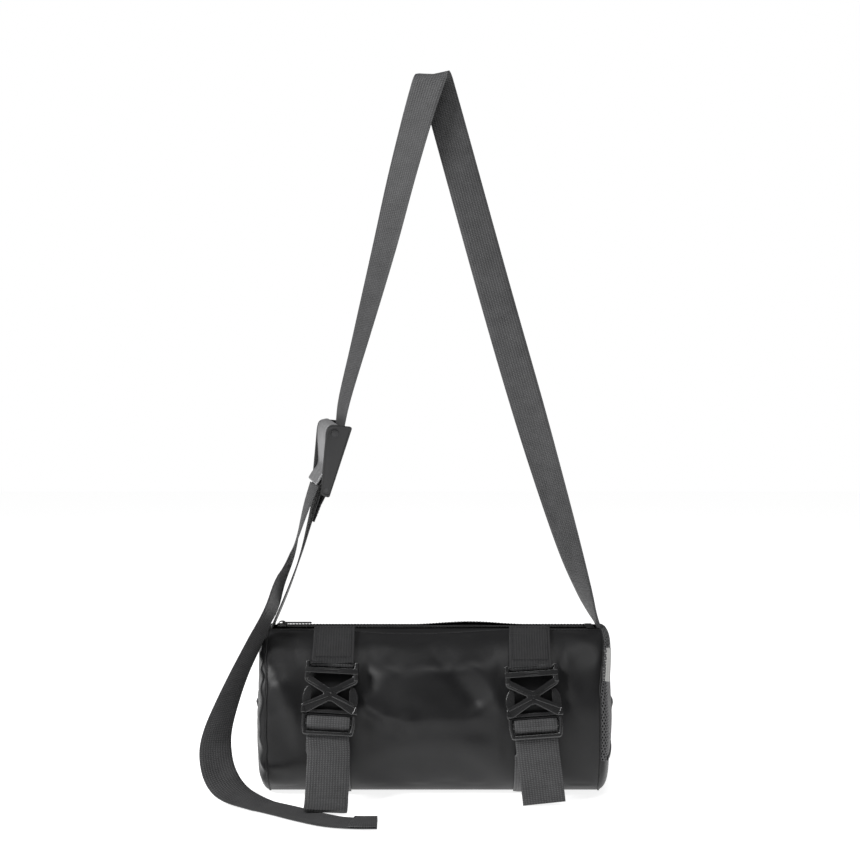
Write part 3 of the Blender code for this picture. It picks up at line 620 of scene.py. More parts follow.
def hold_weight(x, y, z):
    """How firmly the webbing, seams, zip and floor hold a point of the barrel, from 0 to 1."""
    weight = 1 - smooth_step(abs(abs(x) - SEAM_X), *SEAM_HOLD)
    if z > CROWN_Z and abs(x) < SEAM_X:
        weight = max(weight, 1 - smooth_step(abs(y), *SLOT_HOLD))
    weight = max(weight, 1 - smooth_step(z, *FLOOR_HOLD))
    if y < -0.015 and abs(x) < SEAM_X:
        for name in SETS:
            away = abs(x - lane_x(name, z))
            weight = max(weight, 1 - smooth_step(away, STRAP_LANE, STRAP_LANE + LANE_FADE))
    return weight


def to_segment(point, start, end):
    """Distance of a point from a segment, in a plane."""
    point, start, end = np.array(point), np.array(start), np.array(end)
    along = end - start
    share = np.clip(np.dot(point - start, along) / np.dot(along, along), 0, 1)
    return float(np.linalg.norm(point - start - along * share))


def swell(x, middle, half, height):
    """A smooth hump along the barrel."""
    return height * math.cos(math.pi / 2 * np.clip((x - middle) / half, -1, 1)) ** 2


def front_sag(x):
    """How far the front edge of the zip opening hangs, along the barrel."""
    return swell(x, -0.02, 0.10, 0.0040)


def rear_lift(x):
    """How far its rear edge stands up."""
    return swell(x, 0.033, 0.055, 0.0026)


def fold_barrel(rest, shape):
    """Lays the soft folds, gathers and the slumped ends over the blown-out skin."""
    shape = shape.copy()
    for start, moved in zip(rest, shape):
        x, y, z = start
        outward = unit((0.0, y, z - CENTRE_Z))
        free = 1 - hold_weight(x, y, z)
        if y < 0 and abs(x) < SEAM_X:
            height = 0.0
            for first, last, reach, size in FOLDS:
                away = to_segment((x, z), first, last)
                height += size * math.exp(-((away / (reach * FOLD_SPREAD)) ** 2))
            moved += outward * height * free
        if abs(x) < SEAM_X and z > 0.01:
            ripple = noise.noise(Vector(start) * RIPPLE_SCALE) * RIPPLE
            moved += outward * ripple * free
        turn = math.atan2(z - CENTRE_Z, y)
        from_seam = abs(abs(x) - SEAM_X)
        if x < 0:
            wave = math.sin(turn * GATHERS + 2.2 * noise.noise(Vector((turn * 1.7, 0, 4.0))))
            fade = math.exp(-from_seam / GATHER_FADE) * smooth_step(from_seam, 0.0, 0.004)
            fade *= smooth_step(z, 0.004, 0.02)
            if abs(x) > SEAM_X:
                moved[0] -= 0.0022 * wave * fade
            else:
                moved += outward * (0.0010 * wave * fade)
        if z > 0.11 and abs(x) < SEAM_X:
            if y < 0:
                near_slot = smooth_step(-y, 0.008, 0.016) * (1 - smooth_step(-y, 0.024, 0.052))
                moved[2] -= front_sag(x) * near_slot
            else:
                near_slot = smooth_step(y, 0.008, 0.016) * (1 - smooth_step(y, 0.03, 0.06))
                moved[2] += rear_lift(x) * near_slot
        top = smooth_step(z, 0.095, 0.146)
        front = (1 - top) * smooth_step(-y, 0.0, 0.07)
        moved[0] *= 1 + 0.024 * top - (0.024 if x > 0 else 0.004) * front
    return shape


def simulate_barrel(built, weights):
    """Blows the nylon out between the lines that hold it, with a little spare cloth to fold."""
    group = built.vertex_groups.new(name="held")
    for index, weight in enumerate(weights):
        if weight > 0.01:
            group.add([index], float(weight), "REPLACE")
    cloth = built.modifiers.new("cloth", "CLOTH")
    for setting, value in CLOTH_SETTINGS.items():
        setattr(cloth.settings, setting, value)
    cloth.settings.effector_weights.gravity = 0.0
    cloth.collision_settings.use_collision = False
    scene = bpy.context.scene
    cloth.point_cache.frame_start = 1
    cloth.point_cache.frame_end = CLOTH_FRAMES
    for number in range(1, CLOTH_FRAMES + 1):
        scene.frame_set(number)
    apply_modifiers(built)
    scene.frame_set(1)


def soften(shift, count):
    """Evens the skin's movement out between neighbours, so that its folds are broad."""
    grid = shift[:-2].reshape(count, ACROSS, 3)
    for _ in range(SOFTEN_PASSES):
        grid = (np.roll(grid, 1, axis=1) + np.roll(grid, -1, axis=1) + 2 * grid) / 4
        longer = np.concatenate([grid[:1], grid, grid[-1:]])
        grid = (longer[:-2] + longer[2:] + 2 * grid) / 4
    return np.vstack([grid.reshape(-1, 3), shift[-2:]])


def make_barrel():
    rings, points = barrel_points()
    count = len(rings)
    faces = []
    for k in range(count - 1):
        for j in range(ACROSS):
            a, b = k * ACROSS + j, k * ACROSS + (j + 1) % ACROSS
            faces.append((a, a + ACROSS, b + ACROSS, b))
    tips = []
    for k in (0, count - 1):
        tips.append(points[k * ACROSS : (k + 1) * ACROSS].mean(axis=0))
        tip = count * ACROSS + len(tips) - 1
        for j in range(ACROSS):
            a, b = k * ACROSS + j, k * ACROSS + (j + 1) % ACROSS
            faces.append((a, b, tip) if k == 0 else (b, a, tip))
    rest = np.vstack([points, tips])
    hull = make_object("barrel", rest, faces)
    weights = [hold_weight(*p) for p in rest]
    simulate_barrel(hull, weights)
    moved = np.array([v.co for v in hull.data.vertices], float)
    shift = moved - rest
    size = np.linalg.norm(shift, axis=1)
    cap = np.where(np.abs(rest[:, 0]) > SEAM_X, END_CAP, FOLD_CAP)
    shift *= (cap * np.tanh(size / cap) / np.maximum(size, 1e-9))[:, None]
    shift = soften(shift, count) * (1 - np.array(weights))[:, None]
    shape = fold_barrel(rest, rest + shift)
    shape[:, 2] = np.maximum(shape[:, 2], SKIN_FLOOR)
    bpy.data.objects.remove(hull, do_unlink=True)
    return rings, shape


def cut_piece(name, shape, keep_ring, keep_face, thick):
    """Part of the barrel's skin as a thin shell, with its thickness towards the inside."""
    rings_in = [k for k in range(len(RINGS)) if keep_ring(k)]
    index, vertices, faces = {}, [], []

    def use(number):
        if number not in index:
            index[number] = len(vertices)
            vertices.append(shape[number])
        return index[number]

    for k in rings_in[:-1]:
        for j in range(ACROSS):
            corners = [k * ACROSS + j, (k + 1) * ACROSS + j]
            corners += [(k + 1) * ACROSS + (j + 1) % ACROSS, k * ACROSS + (j + 1) % ACROSS]
            if keep_face(shape[corners].mean(axis=0)):
                faces.append([use(c) for c in corners])
    for ring, tip in ((0, -2), (len(RINGS) - 1, -1)):
        if keep_ring(ring):
            for j in range(ACROSS):
                corners = [ring * ACROSS + j, ring * ACROSS + (j + 1) % ACROSS]
                corners.append(len(RINGS) * ACROSS + 2 + tip)
                if keep_face(shape[corners].mean(axis=0)):
                    faces.append([use(c) for c in (corners if ring == 0 else corners[::-1])])
    built = tidy_normals(make_object(name, vertices, faces))
    shell = built.modifiers.new("shell", "SOLIDIFY")
    shell.thickness = thick
    shell.offset = -1.0
    fine = built.modifiers.new("fine", "SUBSURF")
    fine.levels = fine.render_levels = 1
    return apply_modifiers(built)


LINING_SCALE = np.array((0.985, 0.96, 0.96))
RINGS, SHAPE = make_barrel()
FIRST_SEAM, LAST_SEAM = DOME_RINGS, DOME_RINGS + TUBE_RINGS


def make_shell():
    def slot_clear(p):
        return not (p[2] > CROWN_Z and abs(p[1]) < SLOT_HALF)

    tube = cut_piece(
        "body_shell", SHAPE, lambda k: FIRST_SEAM <= k <= LAST_SEAM, slot_clear, 0.0010
    )
    finish_piece(tube, NYLON, "bag", ["body_wrap"])
    left = cut_piece("end_left", SHAPE, lambda k: k <= FIRST_SEAM, lambda p: True, 0.0010)
    finish_piece(left, NYLON, "bag", ["end_panel_left"])
    right = cut_piece(
        "end_right_lower", SHAPE, lambda k: k >= LAST_SEAM, lambda p: p[2] < MESH_EDGE_Z + 0.002, 0.0010
    )
    finish_piece(right, NYLON, "bag", ["end_panel_right_lower"])
    middle = np.array((0.0, 0.0, CENTRE_Z))
    inner = middle + (SHAPE - middle) * LINING_SCALE
    pieces = []
    for keep_ring, keep_face in (
        (lambda k: FIRST_SEAM <= k <= LAST_SEAM, slot_clear),
        (lambda k: k >= LAST_SEAM, lambda p: True),
    ):
        pieces.append(cut_piece("lining_cloth", inner, keep_ring, keep_face, 0.0005))
    finish_piece(join("lining_sleeve", pieces), LINING_CLOTH, "bag", ["lining"])


make_shell()


# ---- mesh end, seams and label -----------------------------------------------------
NET_PITCH = 0.0031
NET_HOLE = 0.68  # hole size as a share of its cell
NET_PROUD = 0.0002
NET_YARN = 0.0005
NET_REACH = 0.105  # half the flat mesh cloth's width
NET_COLUMNS = 42
HOLE_STRETCH = (0.86, 1.12)


def right_dome_map():
    """Takes a point of the flat mesh cloth, by distance and angle from its middle, to the dome."""
    order = list(range(len(RINGS) - 1, LAST_SEAM - 1, -1))
    grid = np.array([SHAPE[k * ACROSS : (k + 1) * ACROSS] for k in order])
    tip = np.repeat(SHAPE[-1][None, None, :], ACROSS, axis=1)
    grid = np.concatenate([tip, grid], axis=0)
    steps = np.linalg.norm(np.diff(grid, axis=0), axis=2)
    reach = np.concatenate([np.zeros((1, ACROSS)), np.cumsum(steps, axis=0)], axis=0)
    rim = grid[-1]
    bearings = np.unwrap(np.arctan2(rim[:, 2] - CENTRE_Z, rim[:, 1]))
    first = bearings[0]
    bearings = np.append(bearings, first + 2 * math.pi)

    def place(a, b):
        distance = math.hypot(a, b)
        turn = (math.atan2(b, a) - first) % (2 * math.pi) + first
        column = float(np.interp(turn, bearings, np.arange(ACROSS + 1)))
        j0 = int(column) % ACROSS
        j1 = (j0 + 1) % ACROSS
        share = column - int(column)
        found = []
        for j in (j0, j1):
            r = min(distance, reach[-1, j])
            found.append([np.interp(r, reach[:, j], grid[:, j, k]) for k in range(3)])
        limit = reach[-1, j0] * (1 - share) + reach[-1, j1] * share
        return np.array(found[0]) * (1 - share) + np.array(found[1]) * share, distance < limit

    return place


def make_net():
    place = right_dome_map()
    index, vertices, faces = {}, [], []

    def use(a, b):
        key = (round(a * 1e6), round(b * 1e6))
        if key not in index:
            index[key] = len(vertices)
            vertices.append(place(a, b)[0])
        return index[key]

    row_step = NET_PITCH * math.sqrt(3) / 2
    radius = NET_PITCH / math.sqrt(3)
    rows = int(NET_REACH / row_step)
    for row in range(-rows, rows + 1):
        for column in range(-NET_COLUMNS, NET_COLUMNS + 1):
            a = (column + 0.5 * (row % 2)) * NET_PITCH
            b = row * row_step
            centre, inside = place(a, b)
            if not inside or centre[2] < MESH_EDGE_Z:
                continue
            ring = []
            for k in range(6):
                angle = math.pi / 6 + math.pi / 3 * k
                ring.append((a + radius * math.cos(angle), b + radius * math.sin(angle)))
            outer = [use(round(x, 6), round(y, 6)) for x, y in ring]
            wide, tall = (NET_HOLE * stretch for stretch in HOLE_STRETCH)
            inner = [use(a + (x - a) * wide, b + (y - b) * tall) for x, y in ring]
            for k in range(6):
                m = (k + 1) % 6
                faces.append((outer[k], outer[m], inner[m], inner[k]))
    net = tidy_normals(make_object("end_mesh_net", vertices, faces))
    if sum(polygon.normal.x for polygon in net.data.polygons) < 0:
        net.data.flip_normals()
    shell = net.modifiers.new("yarn", "SOLIDIFY")
    shell.thickness = NET_YARN
    shell.offset = 1.0
    soft = net.modifiers.new("soft", "SUBSURF")
    soft.levels = soft.render_levels = 1
    apply_modifiers(net)
    normals = [vertex.normal.copy() for vertex in net.data.vertices]
    for vertex, normal in zip(net.data.vertices, normals):
        vertex.co += normal * NET_PROUD
    finish_piece(net, MESH_YARN, "bag", ["end_mesh_right"])


def ring_at(ring, inset):
    """Points round the barrel at one ring of the skin, moved towards its middle."""
    points = SHAPE[ring * ACROSS : (ring + 1) * ACROSS].copy()
    for p in points:
        away = np.array((0.0, p[1], p[2] - CENTRE_Z))
        p -= unit(away) * inset
    return points


def curve_to_object(name, curve):
    source = bpy.data.objects.new(name + "_curve", curve)
    bpy.context.scene.collection.objects.link(source)
    bpy.context.view_layer.update()
    mesh = bpy.data.meshes.new_from_object(source)
    bpy.data.objects.remove(source, do_unlink=True)
    return place_mesh(name, mesh)


def make_tube(name, points, radius, closed=False, sides=10):
    """A round tube along points."""
    curve = bpy.data.curves.new(name, "CURVE")
    curve.dimensions = "3D"
    curve.bevel_depth = radius
    curve.bevel_resolution = max(1, sides // 4)
    curve.use_fill_caps = True
    spline = curve.splines.new("POLY")
    spline.points.add(len(points) - 1)
    for point, place in zip(spline.points, points):
        point.co = (*[float(c) for c in place], 1.0)
    spline.use_cyclic_u = closed
    return curve_to_object(name, curve)


def make_seams():
    for name, ring in (("left", FIRST_SEAM), ("right", LAST_SEAM)):
        points = ring_at(ring, 0.0004)
        for k, point in enumerate(points):
            point[0] += 0.0009 * noise.noise(Vector((k * 0.35, ring, 0.0)))
        points[:, 2] = np.maximum(points[:, 2], 0.0016)
        piping = make_tube("seam_" + name, points, 0.0011, closed=True)
        finish_piece(piping, NYLON_TRIM, "bag", ["piping_" + name])
    place = right_dome_map()
    line, across = [], []
    for k in range(25):
        turn = math.radians(-152 + 124 * k / 24)
        low, high = 0.0, 0.12
        for _ in range(18):
            middle = (low + high) / 2
            point, inside = place(middle * math.cos(turn), middle * math.sin(turn))
            if inside and point[2] > MESH_EDGE_Z:
                low = middle
            else:
                high = middle
        line.append(place(low * math.cos(turn), low * math.sin(turn))[0] + (0.0012, 0, 0))
        across.append((0.15, 0.0, 1.0))
    tape, _ = webbing("mesh_seam_fold", line, across, 0.0042, 0.0009, columns=4)
    finish_piece(tape, NYLON_TRIM, "bag", ["mesh_seam_tape"])


def make_label():
    """A blank folded cloth label caught in the right end seam."""
    line, across = [], []
    for k in range(9):
        share = k / 8
        z = 0.1062 + 0.0262 * share
        y_near = -half_width(z) - 0.0026
        line.append((0.1528 + 0.0040 * share, y_near + 0.0042, z))
        across.append((0.0078, -0.0008, 0.0003 * (k - 4)))
    label, _ = webbing("side_label_cloth", line, across, 0.0100, 0.0007, columns=6)
    finish_piece(label, LABEL_CLOTH, "bag", ["side_label"])


make_net()
make_seams()
make_label()


# ---- flat moulded and pressed pieces -----------------------------------------------
def rounded(corners, steps=4):
    """A polygon whose corners (x, y, radius) are rounded."""
    outline = []
    count = len(corners)
    for k in range(count):
        here = np.array(corners[k][:2], float)
        radius = corners[k][2] if len(corners[k]) > 2 else 0.0
        if radius <= 0:
            outline.append(tuple(here))
            continue
        back = np.array(corners[k - 1][:2], float) - here
        ahead = np.array(corners[(k + 1) % count][:2], float) - here
        reach = min(radius, 0.45 * np.linalg.norm(back), 0.45 * np.linalg.norm(ahead))
        start, end = here + unit(back) * reach, here + unit(ahead) * reach
        for step in range(steps + 1):
            t = step / steps
            point = start * (1 - t) ** 2 + here * 2 * t * (1 - t) + end * t**2
            outline.append(tuple(point))
    return outline


def evenly(corners, radius, side=1, steps=4):
    """A rounded polygon with one radius at every corner, mirrored when side is -1."""
    return rounded([(side * u, v, radius) for u, v in corners], steps)


def circle(centre, radius, count=24):
    turns = [2 * math.pi * k / count for k in range(count)]
    return [(centre[0] + radius * math.cos(t), centre[1] + radius * math.sin(t)) for t in turns]


def plate(name, outlines, low, high, bevel, axes):
    """A flat piece with bevelled edges: the first outline, with the others as holes, in two axes."""
    curve = bpy.data.curves.new(name, "CURVE")
    curve.dimensions = "2D"
    curve.fill_mode = "BOTH"
    curve.extrude = (high - low) / 2 - bevel
    curve.bevel_depth = bevel
    curve.bevel_resolution = 2
    curve.offset = -bevel
    for outline in outlines:
        spline = curve.splines.new("POLY")
        spline.points.add(len(outline) - 1)
        for point, (a, b) in zip(spline.points, outline):
            point.co = (a, b, 0.0, 1.0)
        spline.use_cyclic_u = True
    built = curve_to_object(name, curve)
    mesh = built.data
    for vertex in mesh.vertices:
        a, b, n = vertex.co
        vertex.co = tuple(to_world(axes, a, b, n + (low + high) / 2))
    shape = bmesh.new()
    shape.from_mesh(mesh)
    bmesh.ops.remove_doubles(shape, verts=shape.verts[:], dist=0.00001)
    bmesh.ops.recalc_face_normals(shape, faces=shape.faces[:])
    shape.to_mesh(mesh)
    shape.free()
    for polygon in mesh.polygons:
        polygon.use_smooth = True
    mesh.set_sharp_from_angle(angle=math.radians(32))
    return built


def mirror_path(half):
    """An outline symmetric about the second axis, from its right half, top to bottom."""
    return half + [(-corner[0], *corner[1:]) for corner in half[::-1]]


def corners_of(half_u, low_v, high_v):
    return [(-half_u, low_v), (half_u, low_v), (half_u, high_v), (-half_u, high_v)]


def buckle_axes(name):
    centre, lean = SETS[name]
    up = np.array((0.0, math.sin(BUCKLE_TILT), math.cos(BUCKLE_TILT)))
    right = np.array((1.0, 0.0, 0.0))
    axis_v = up * math.cos(lean) + right * math.sin(lean)
    axis_u = right * math.cos(lean) - up * math.sin(lean)
    return local_frame(np.array(centre) - axis_v * BUCKLE_MID_V, axis_u, axis_v)


def female_outline():
    """The X-shaped face: top bar with ears, waist, and feet, in metres from the split line."""
    half = [
        (0.0199, 0.0406, 0.0),
        (0.0200, 0.0466, 0.0010),
        (0.0236, 0.0466, 0.0020),
        (0.0242, 0.0300, 0.0020),
        (0.0218, 0.0272, 0.0010),
        (0.0050, 0.0180, 0.0020),
        (0.0236, 0.0090, 0.0015),
        (0.0250, 0.0076, 0.0010),
        (0.0250, 0.0004, 0.0006),
        (0.0196, 0.0004, 0.0012),
        (0.0018, 0.0112, 0.0012),
    ]
    return rounded(mirror_path(half))


def female_window():
    half = [(0.0194, 0.0358, 0.0010), (0.0194, 0.0336, 0.0010), (0.0014, 0.0232, 0.0012)]
    return rounded(mirror_path(half))


def make_female(name):
    axes = buckle_axes(name)
    pieces = []
    outer, window = female_outline(), female_window()
    pieces.append(plate("face", [outer, window], 0.0012, 0.0041, 0.0006, axes))
    pieces.append(plate("back", [outer, window], -0.0041, -0.0013, 0.0006, axes))
    bar = evenly(corners_of(0.0238, 0.0358, 0.0407), 0.001)
    recess = evenly(corners_of(0.0062, 0.0374, 0.0390), 0.0004)
    pieces.append(plate("bar", [bar], -0.0042, 0.0042, 0.0007, axes))
    pieces.append(plate("bar_lip", [bar, recess], 0.0040, 0.0050, 0.0004, axes))
    ear = [(0.0200, 0.0296), (0.0240, 0.0296), (0.0238, 0.0466), (0.0202, 0.0466)]
    upper_rib = [(0.0216, 0.0290), (0.0228, 0.0306), (0.0030, 0.0203), (0.0, 0.0184)]
    lower_rib = [(0.0238, 0.0076), (0.0228, 0.0062), (0.0020, 0.0150), (0.0, 0.0166)]
    foot = [(0.0204, 0.0006), (0.0250, 0.0006), (0.0250, 0.0070), (0.0236, 0.0078)]
    raised = (
        (ear, 0.0016, -0.0044, 0.0048, 0.0011),
        (upper_rib, 0.0004, 0.0036, 0.0048, 0.0004),
        (lower_rib, 0.0004, 0.0036, 0.0046, 0.0004),
        (foot, 0.0010, 0.0036, 0.0049, 0.0006),
    )
    for side in (-1, 1):
        for corners, radius, low, high, bevel in raised:
            pieces.append(plate("raised", [evenly(corners, radius, side)], low, high, bevel, axes))
    waist = evenly(corners_of(0.0040, 0.0118, 0.0226), 0.0015)
    pieces.append(plate("waist", [waist], -0.0036, 0.0036, 0.0008, axes))
    hidden = [to_world(axes, u, HIDDEN_BAR_V, 0.0) for u in (-0.0222, 0.0222)]
    pieces.append(make_tube("hidden_bar", hidden, 0.0015))
    built = join("buckle_female_body_" + name, pieces)
    finish_piece(built, PLASTIC, "bag", ["buckle_female_" + name])


def make_male(name):
    axes = buckle_axes(name)
    outer = [(0.0244, 0.0000, 0.0012), (0.0242, -0.0100, 0.0060), (0.0222, -0.0186, 0.0026)]
    outer = rounded(mirror_path(outer))
    opening = [(0.0206, -0.0012, 0.0006), (0.0206, -0.0100, 0.0030), (0.0196, -0.0150, 0.0008)]
    opening = rounded(mirror_path(opening))
    pieces = [plate("frame", [outer, opening], -0.0024, 0.0024, 0.0009, axes)]
    lower = [to_world(axes, u, -0.0166, 0.0) for u in (-0.0200, 0.0200)]
    pieces.append(make_tube("lower_bar", lower, 0.0019))
    for side in (-1, 1):
        path = ((0.0226, -0.0006), (0.0225, -0.0090), (0.0212, -0.0160))
        rail = [to_world(axes, side * u, v, 0.0014) for u, v in path]
        pieces.append(make_tube("rail", rail, 0.0015))
    bar = evenly(corners_of(0.0212, -0.0092, -0.0040), 0.0010)
    pieces.append(plate("bar", [bar], -0.0017, 0.0017, 0.0008, axes))
    base = evenly(corners_of(0.0232, 0.0010, 0.0040), 0.0006)
    pieces.append(plate("base", [base], -0.0011, 0.0011, 0.0004, axes))
    corners = [(0.0203, -0.0030), (0.0236, -0.0030), (0.0234, 0.0040), (0.0203, 0.0040)]
    for side in (-1, 1):
        post = evenly(corners, 0.0004, side)
        pieces.append(plate("post", [post], -0.0011, 0.0011, 0.0004, axes))
    built = join("buckle_male_body_" + name, pieces)
    finish_piece(built, PLASTIC, "male_" + name, ["buckle_male_" + name])


def make_prong(name, place, side):
    axes = buckle_axes(name)
    outer = [(0.0176, 0.0046), (0.0214, 0.0046), (0.0240, 0.0080), (0.0250, 0.0122), (0.0246, 0.0172)]
    outer += [(0.0228, 0.0222), (0.0206, 0.0252), (0.0172, 0.0244), (0.0166, 0.0200)]
    outer += [(0.0168, 0.0150), (0.0172, 0.0096)]
    arm = evenly(outer, 0.0022, side, 6)
    pieces = [plate("arm", [arm], -0.0012, 0.0012, 0.0005, axes)]
    bow = [(0.0226, 0.0078), (0.0238, 0.0120), (0.0236, 0.0170), (0.0220, 0.0212), (0.0198, 0.0238)]
    bow = smooth_path([to_world(axes, side * u, v, 0.0) for u, v in bow], 5)
    pieces.append(make_tube("bow", bow, 0.0013))
    built = join(f"prong_{name}_{place}_body", pieces)
    finish_piece(built, PLASTIC, f"prong_{name}_{place}", [f"prong_{name}_{place}"])


for set_name in SETS:
    make_female(set_name)
    make_male(set_name)
    outer_side = -1 if set_name == "left" else 1
    make_prong(set_name, "outer", outer_side)
    make_prong(set_name, "inner", -outer_side)


# ---- zip ---------------------------------------------------------------------------
SLIDER_X = -0.1455
PULLER_AXIS = np.array((-0.1445, 0.0, 0.1494))
TOOTH_PITCH = 0.0015
TOP_AXES = local_frame((0, 0, 0), (1, 0, 0), (0, 1, 0))


def top_z(y, inset=0.0006):
    return CENTRE_Z + (TOP_Z - CENTRE_Z) * math.sqrt(1 - (y / HALF_DEPTH) ** 2) - inset


def make_zip():
    xs = np.linspace(-0.1505, 0.1505, 60)
    for name, side in (("front", -1), ("rear", 1)):
        line, across = [], []
        for x in xs:
            drop = front_sag(x) if side < 0 else -0.5 * rear_lift(x)
            line.append((x, side * 0.0108, 0.1439 - drop / 2))
            across.append((0.0, side, -0.055 - drop / 0.0155))
        tape, _ = webbing("zip_tape_cloth_" + name, line, across, 0.0155, 0.0008, step=0.004)
        finish_piece(tape, NYLON_TRIM, "bag", ["zip_tape_" + name])
        edge = SLOT_HALF + 0.0028
        run = []
        for x in xs[1:-1]:
            drop = front_sag(x) if side < 0 else -rear_lift(x)
            run.append(((x, side * edge, top_z(edge) + 0.0002 - drop), (0, side * 0.2, 0.98)))
        finish_piece(stitches("zip_thread_" + name, [run]), THREAD, "bag")
    tooth = [(0.0, 0.0, 0.0), (0.00085, 0.0004, 0.0003), (0.00085, 0.0038, 0.0003), (0.0, 0.0042, 0.0003)]
    tooth = rounded(tooth, 2)
    teeth = []
    for k in range(int(0.292 / TOOTH_PITCH)):
        x = -0.1495 + k * TOOTH_PITCH
        if abs(x - SLIDER_X) < 0.0035:
            continue
        for side in (-1, 1):
            shift = x + (0.00075 if side > 0 else 0.0)
            outline = [(shift + a, side * (b - 0.0009)) for a, b in tooth]
            teeth.append(plate("tooth", [outline], 0.1444, 0.1463, 0.00025, TOP_AXES))
    finish_piece(join("zip_teeth", teeth), PLASTIC, "bag", ["zip_chain"])
    tab = [(0.1434, -0.0122, 0.002), (0.1508, -0.0122, 0.0), (0.1508, 0.0122, 0.0), (0.1434, 0.0122, 0.002)]
    tab = plate("zip_end_cover", [rounded(tab)], 0.1452, 0.1471, 0.0007, TOP_AXES)
    finish_piece(tab, NYLON_TRIM, "bag", ["zip_end_tab"])


def make_slider():
    x = SLIDER_X
    body = [(x - 0.0050, -0.0022, 0.001), (x - 0.0040, -0.0048, 0.0014), (x + 0.0030, -0.0046, 0.0018)]
    body += [(x + 0.0052, -0.0028, 0.0010)]
    body = rounded(body + [(a, -b, r) for a, b, r in body[::-1]])
    pieces = [plate("top", [body], 0.1471, 0.1484, 0.0004, TOP_AXES)]
    flange_corners = ((-0.004, 0.0036), (0.004, 0.0034), (0.004, 0.0045), (-0.004, 0.0047))
    for side in (-1, 1):
        flange = rounded([(x + a, side * b, 0.0004) for a, b in flange_corners])
        pieces.append(plate("flange", [flange], 0.1454, 0.1476, 0.0003, TOP_AXES))
    side_axes = local_frame((0, 0, 0), (1, 0, 0), (0, 0, 1))
    arch = [(x - 0.0036, 0.1480, 0.0), (x - 0.0034, 0.1502, 0.001), (x - 0.0010, 0.1514, 0.001)]
    arch += [(x + 0.0020, 0.1513, 0.001), (x + 0.0036, 0.1498, 0.001), (x + 0.0036, 0.1480, 0.0)]
    inner = [(x - 0.0024, 0.1484, 0.0003), (x - 0.0024, 0.1500, 0.0005), (x + 0.0016, 0.1503, 0.0005)]
    inner += [(x + 0.0024, 0.1494, 0.0005), (x + 0.0024, 0.1484, 0.0003)]
    pieces.append(plate("arch", [rounded(arch), rounded(inner)], -0.0011, 0.0011, 0.0003, side_axes))
    finish_piece(join("zip_slider_body", pieces), ZIP_METAL, "slider", ["zip_slider"])
    axis_x, _, axis_z = PULLER_AXIS
    half = [(axis_x - 0.0008, 0.0018, 0.0006), (axis_x + 0.0020, 0.0025, 0.0008)]
    half += [(axis_x + 0.0055, 0.0022, 0.0010), (axis_x + 0.0190, 0.0024, 0.0010)]
    half += [(axis_x + 0.0262, 0.0026, 0.0020), (axis_x + 0.0272, 0.0010, 0.0008)]
    outline = rounded(half + [(a, -b, r) for a, b, r in half[::-1]])
    eye = ((0.0007, 0.0013), (0.0040, 0.0013), (0.0040, -0.0013), (0.0007, -0.0013))
    eye = rounded([(axis_x + a, b, 0.0004) for a, b in eye])
    hole = circle((axis_x + 0.0232, 0.0), 0.0011)
    low, high = axis_z - 0.0006, axis_z + 0.0006
    puller = plate("zip_puller_body", [outline, eye, hole], low, high, 0.0003, TOP_AXES)
    finish_piece(puller, ZIP_METAL, "puller", ["zip_puller"])


make_zip()
make_slider()


# ---- front webbing -----------------------------------------------------------------
TAILS = {
    "left": (
        (-0.0945, -0.0905, 0.0480),
        (-0.0947, -0.0948, 0.0360),
        (-0.0948, -0.1005, 0.0240),
        (-0.0949, -0.1080, 0.0130),
        (-0.0949, -0.1150, 0.0072),
        (-0.0949, -0.1220, 0.0048),
    ),
    "right": (
        (0.0912, -0.0888, 0.0480),
        (0.0926, -0.0892, 0.0360),
        (0.0942, -0.0895, 0.0240),
        (0.0956, -0.0905, 0.0120),
        (0.0966, -0.0922, 0.0022),
    ),
}
X_AXIS = np.array((1.0, 0.0, 0.0))
TAIL_HEM = 0.0150


def section_point(x, y, offset):
    """A point a little outside the front of the barrel, found from its y."""
    z = top_z(y, 0.0)
    slope = unit((y / HALF_DEPTH**2, (z - CENTRE_Z) / (TOP_Z - CENTRE_Z) ** 2))
    return np.array((x, y + slope[0] * offset, z + slope[1] * offset))


def lower_point(x, theta, offset):
    """A point a little outside the lower front of the barrel, from its angle."""
    y, z = section(theta)
    y_next, z_next = section(theta + 0.01)
    normal = unit((z_next - z, -(y_next - y)))
    return np.array((x, y + normal[0] * offset, z + normal[1] * offset))


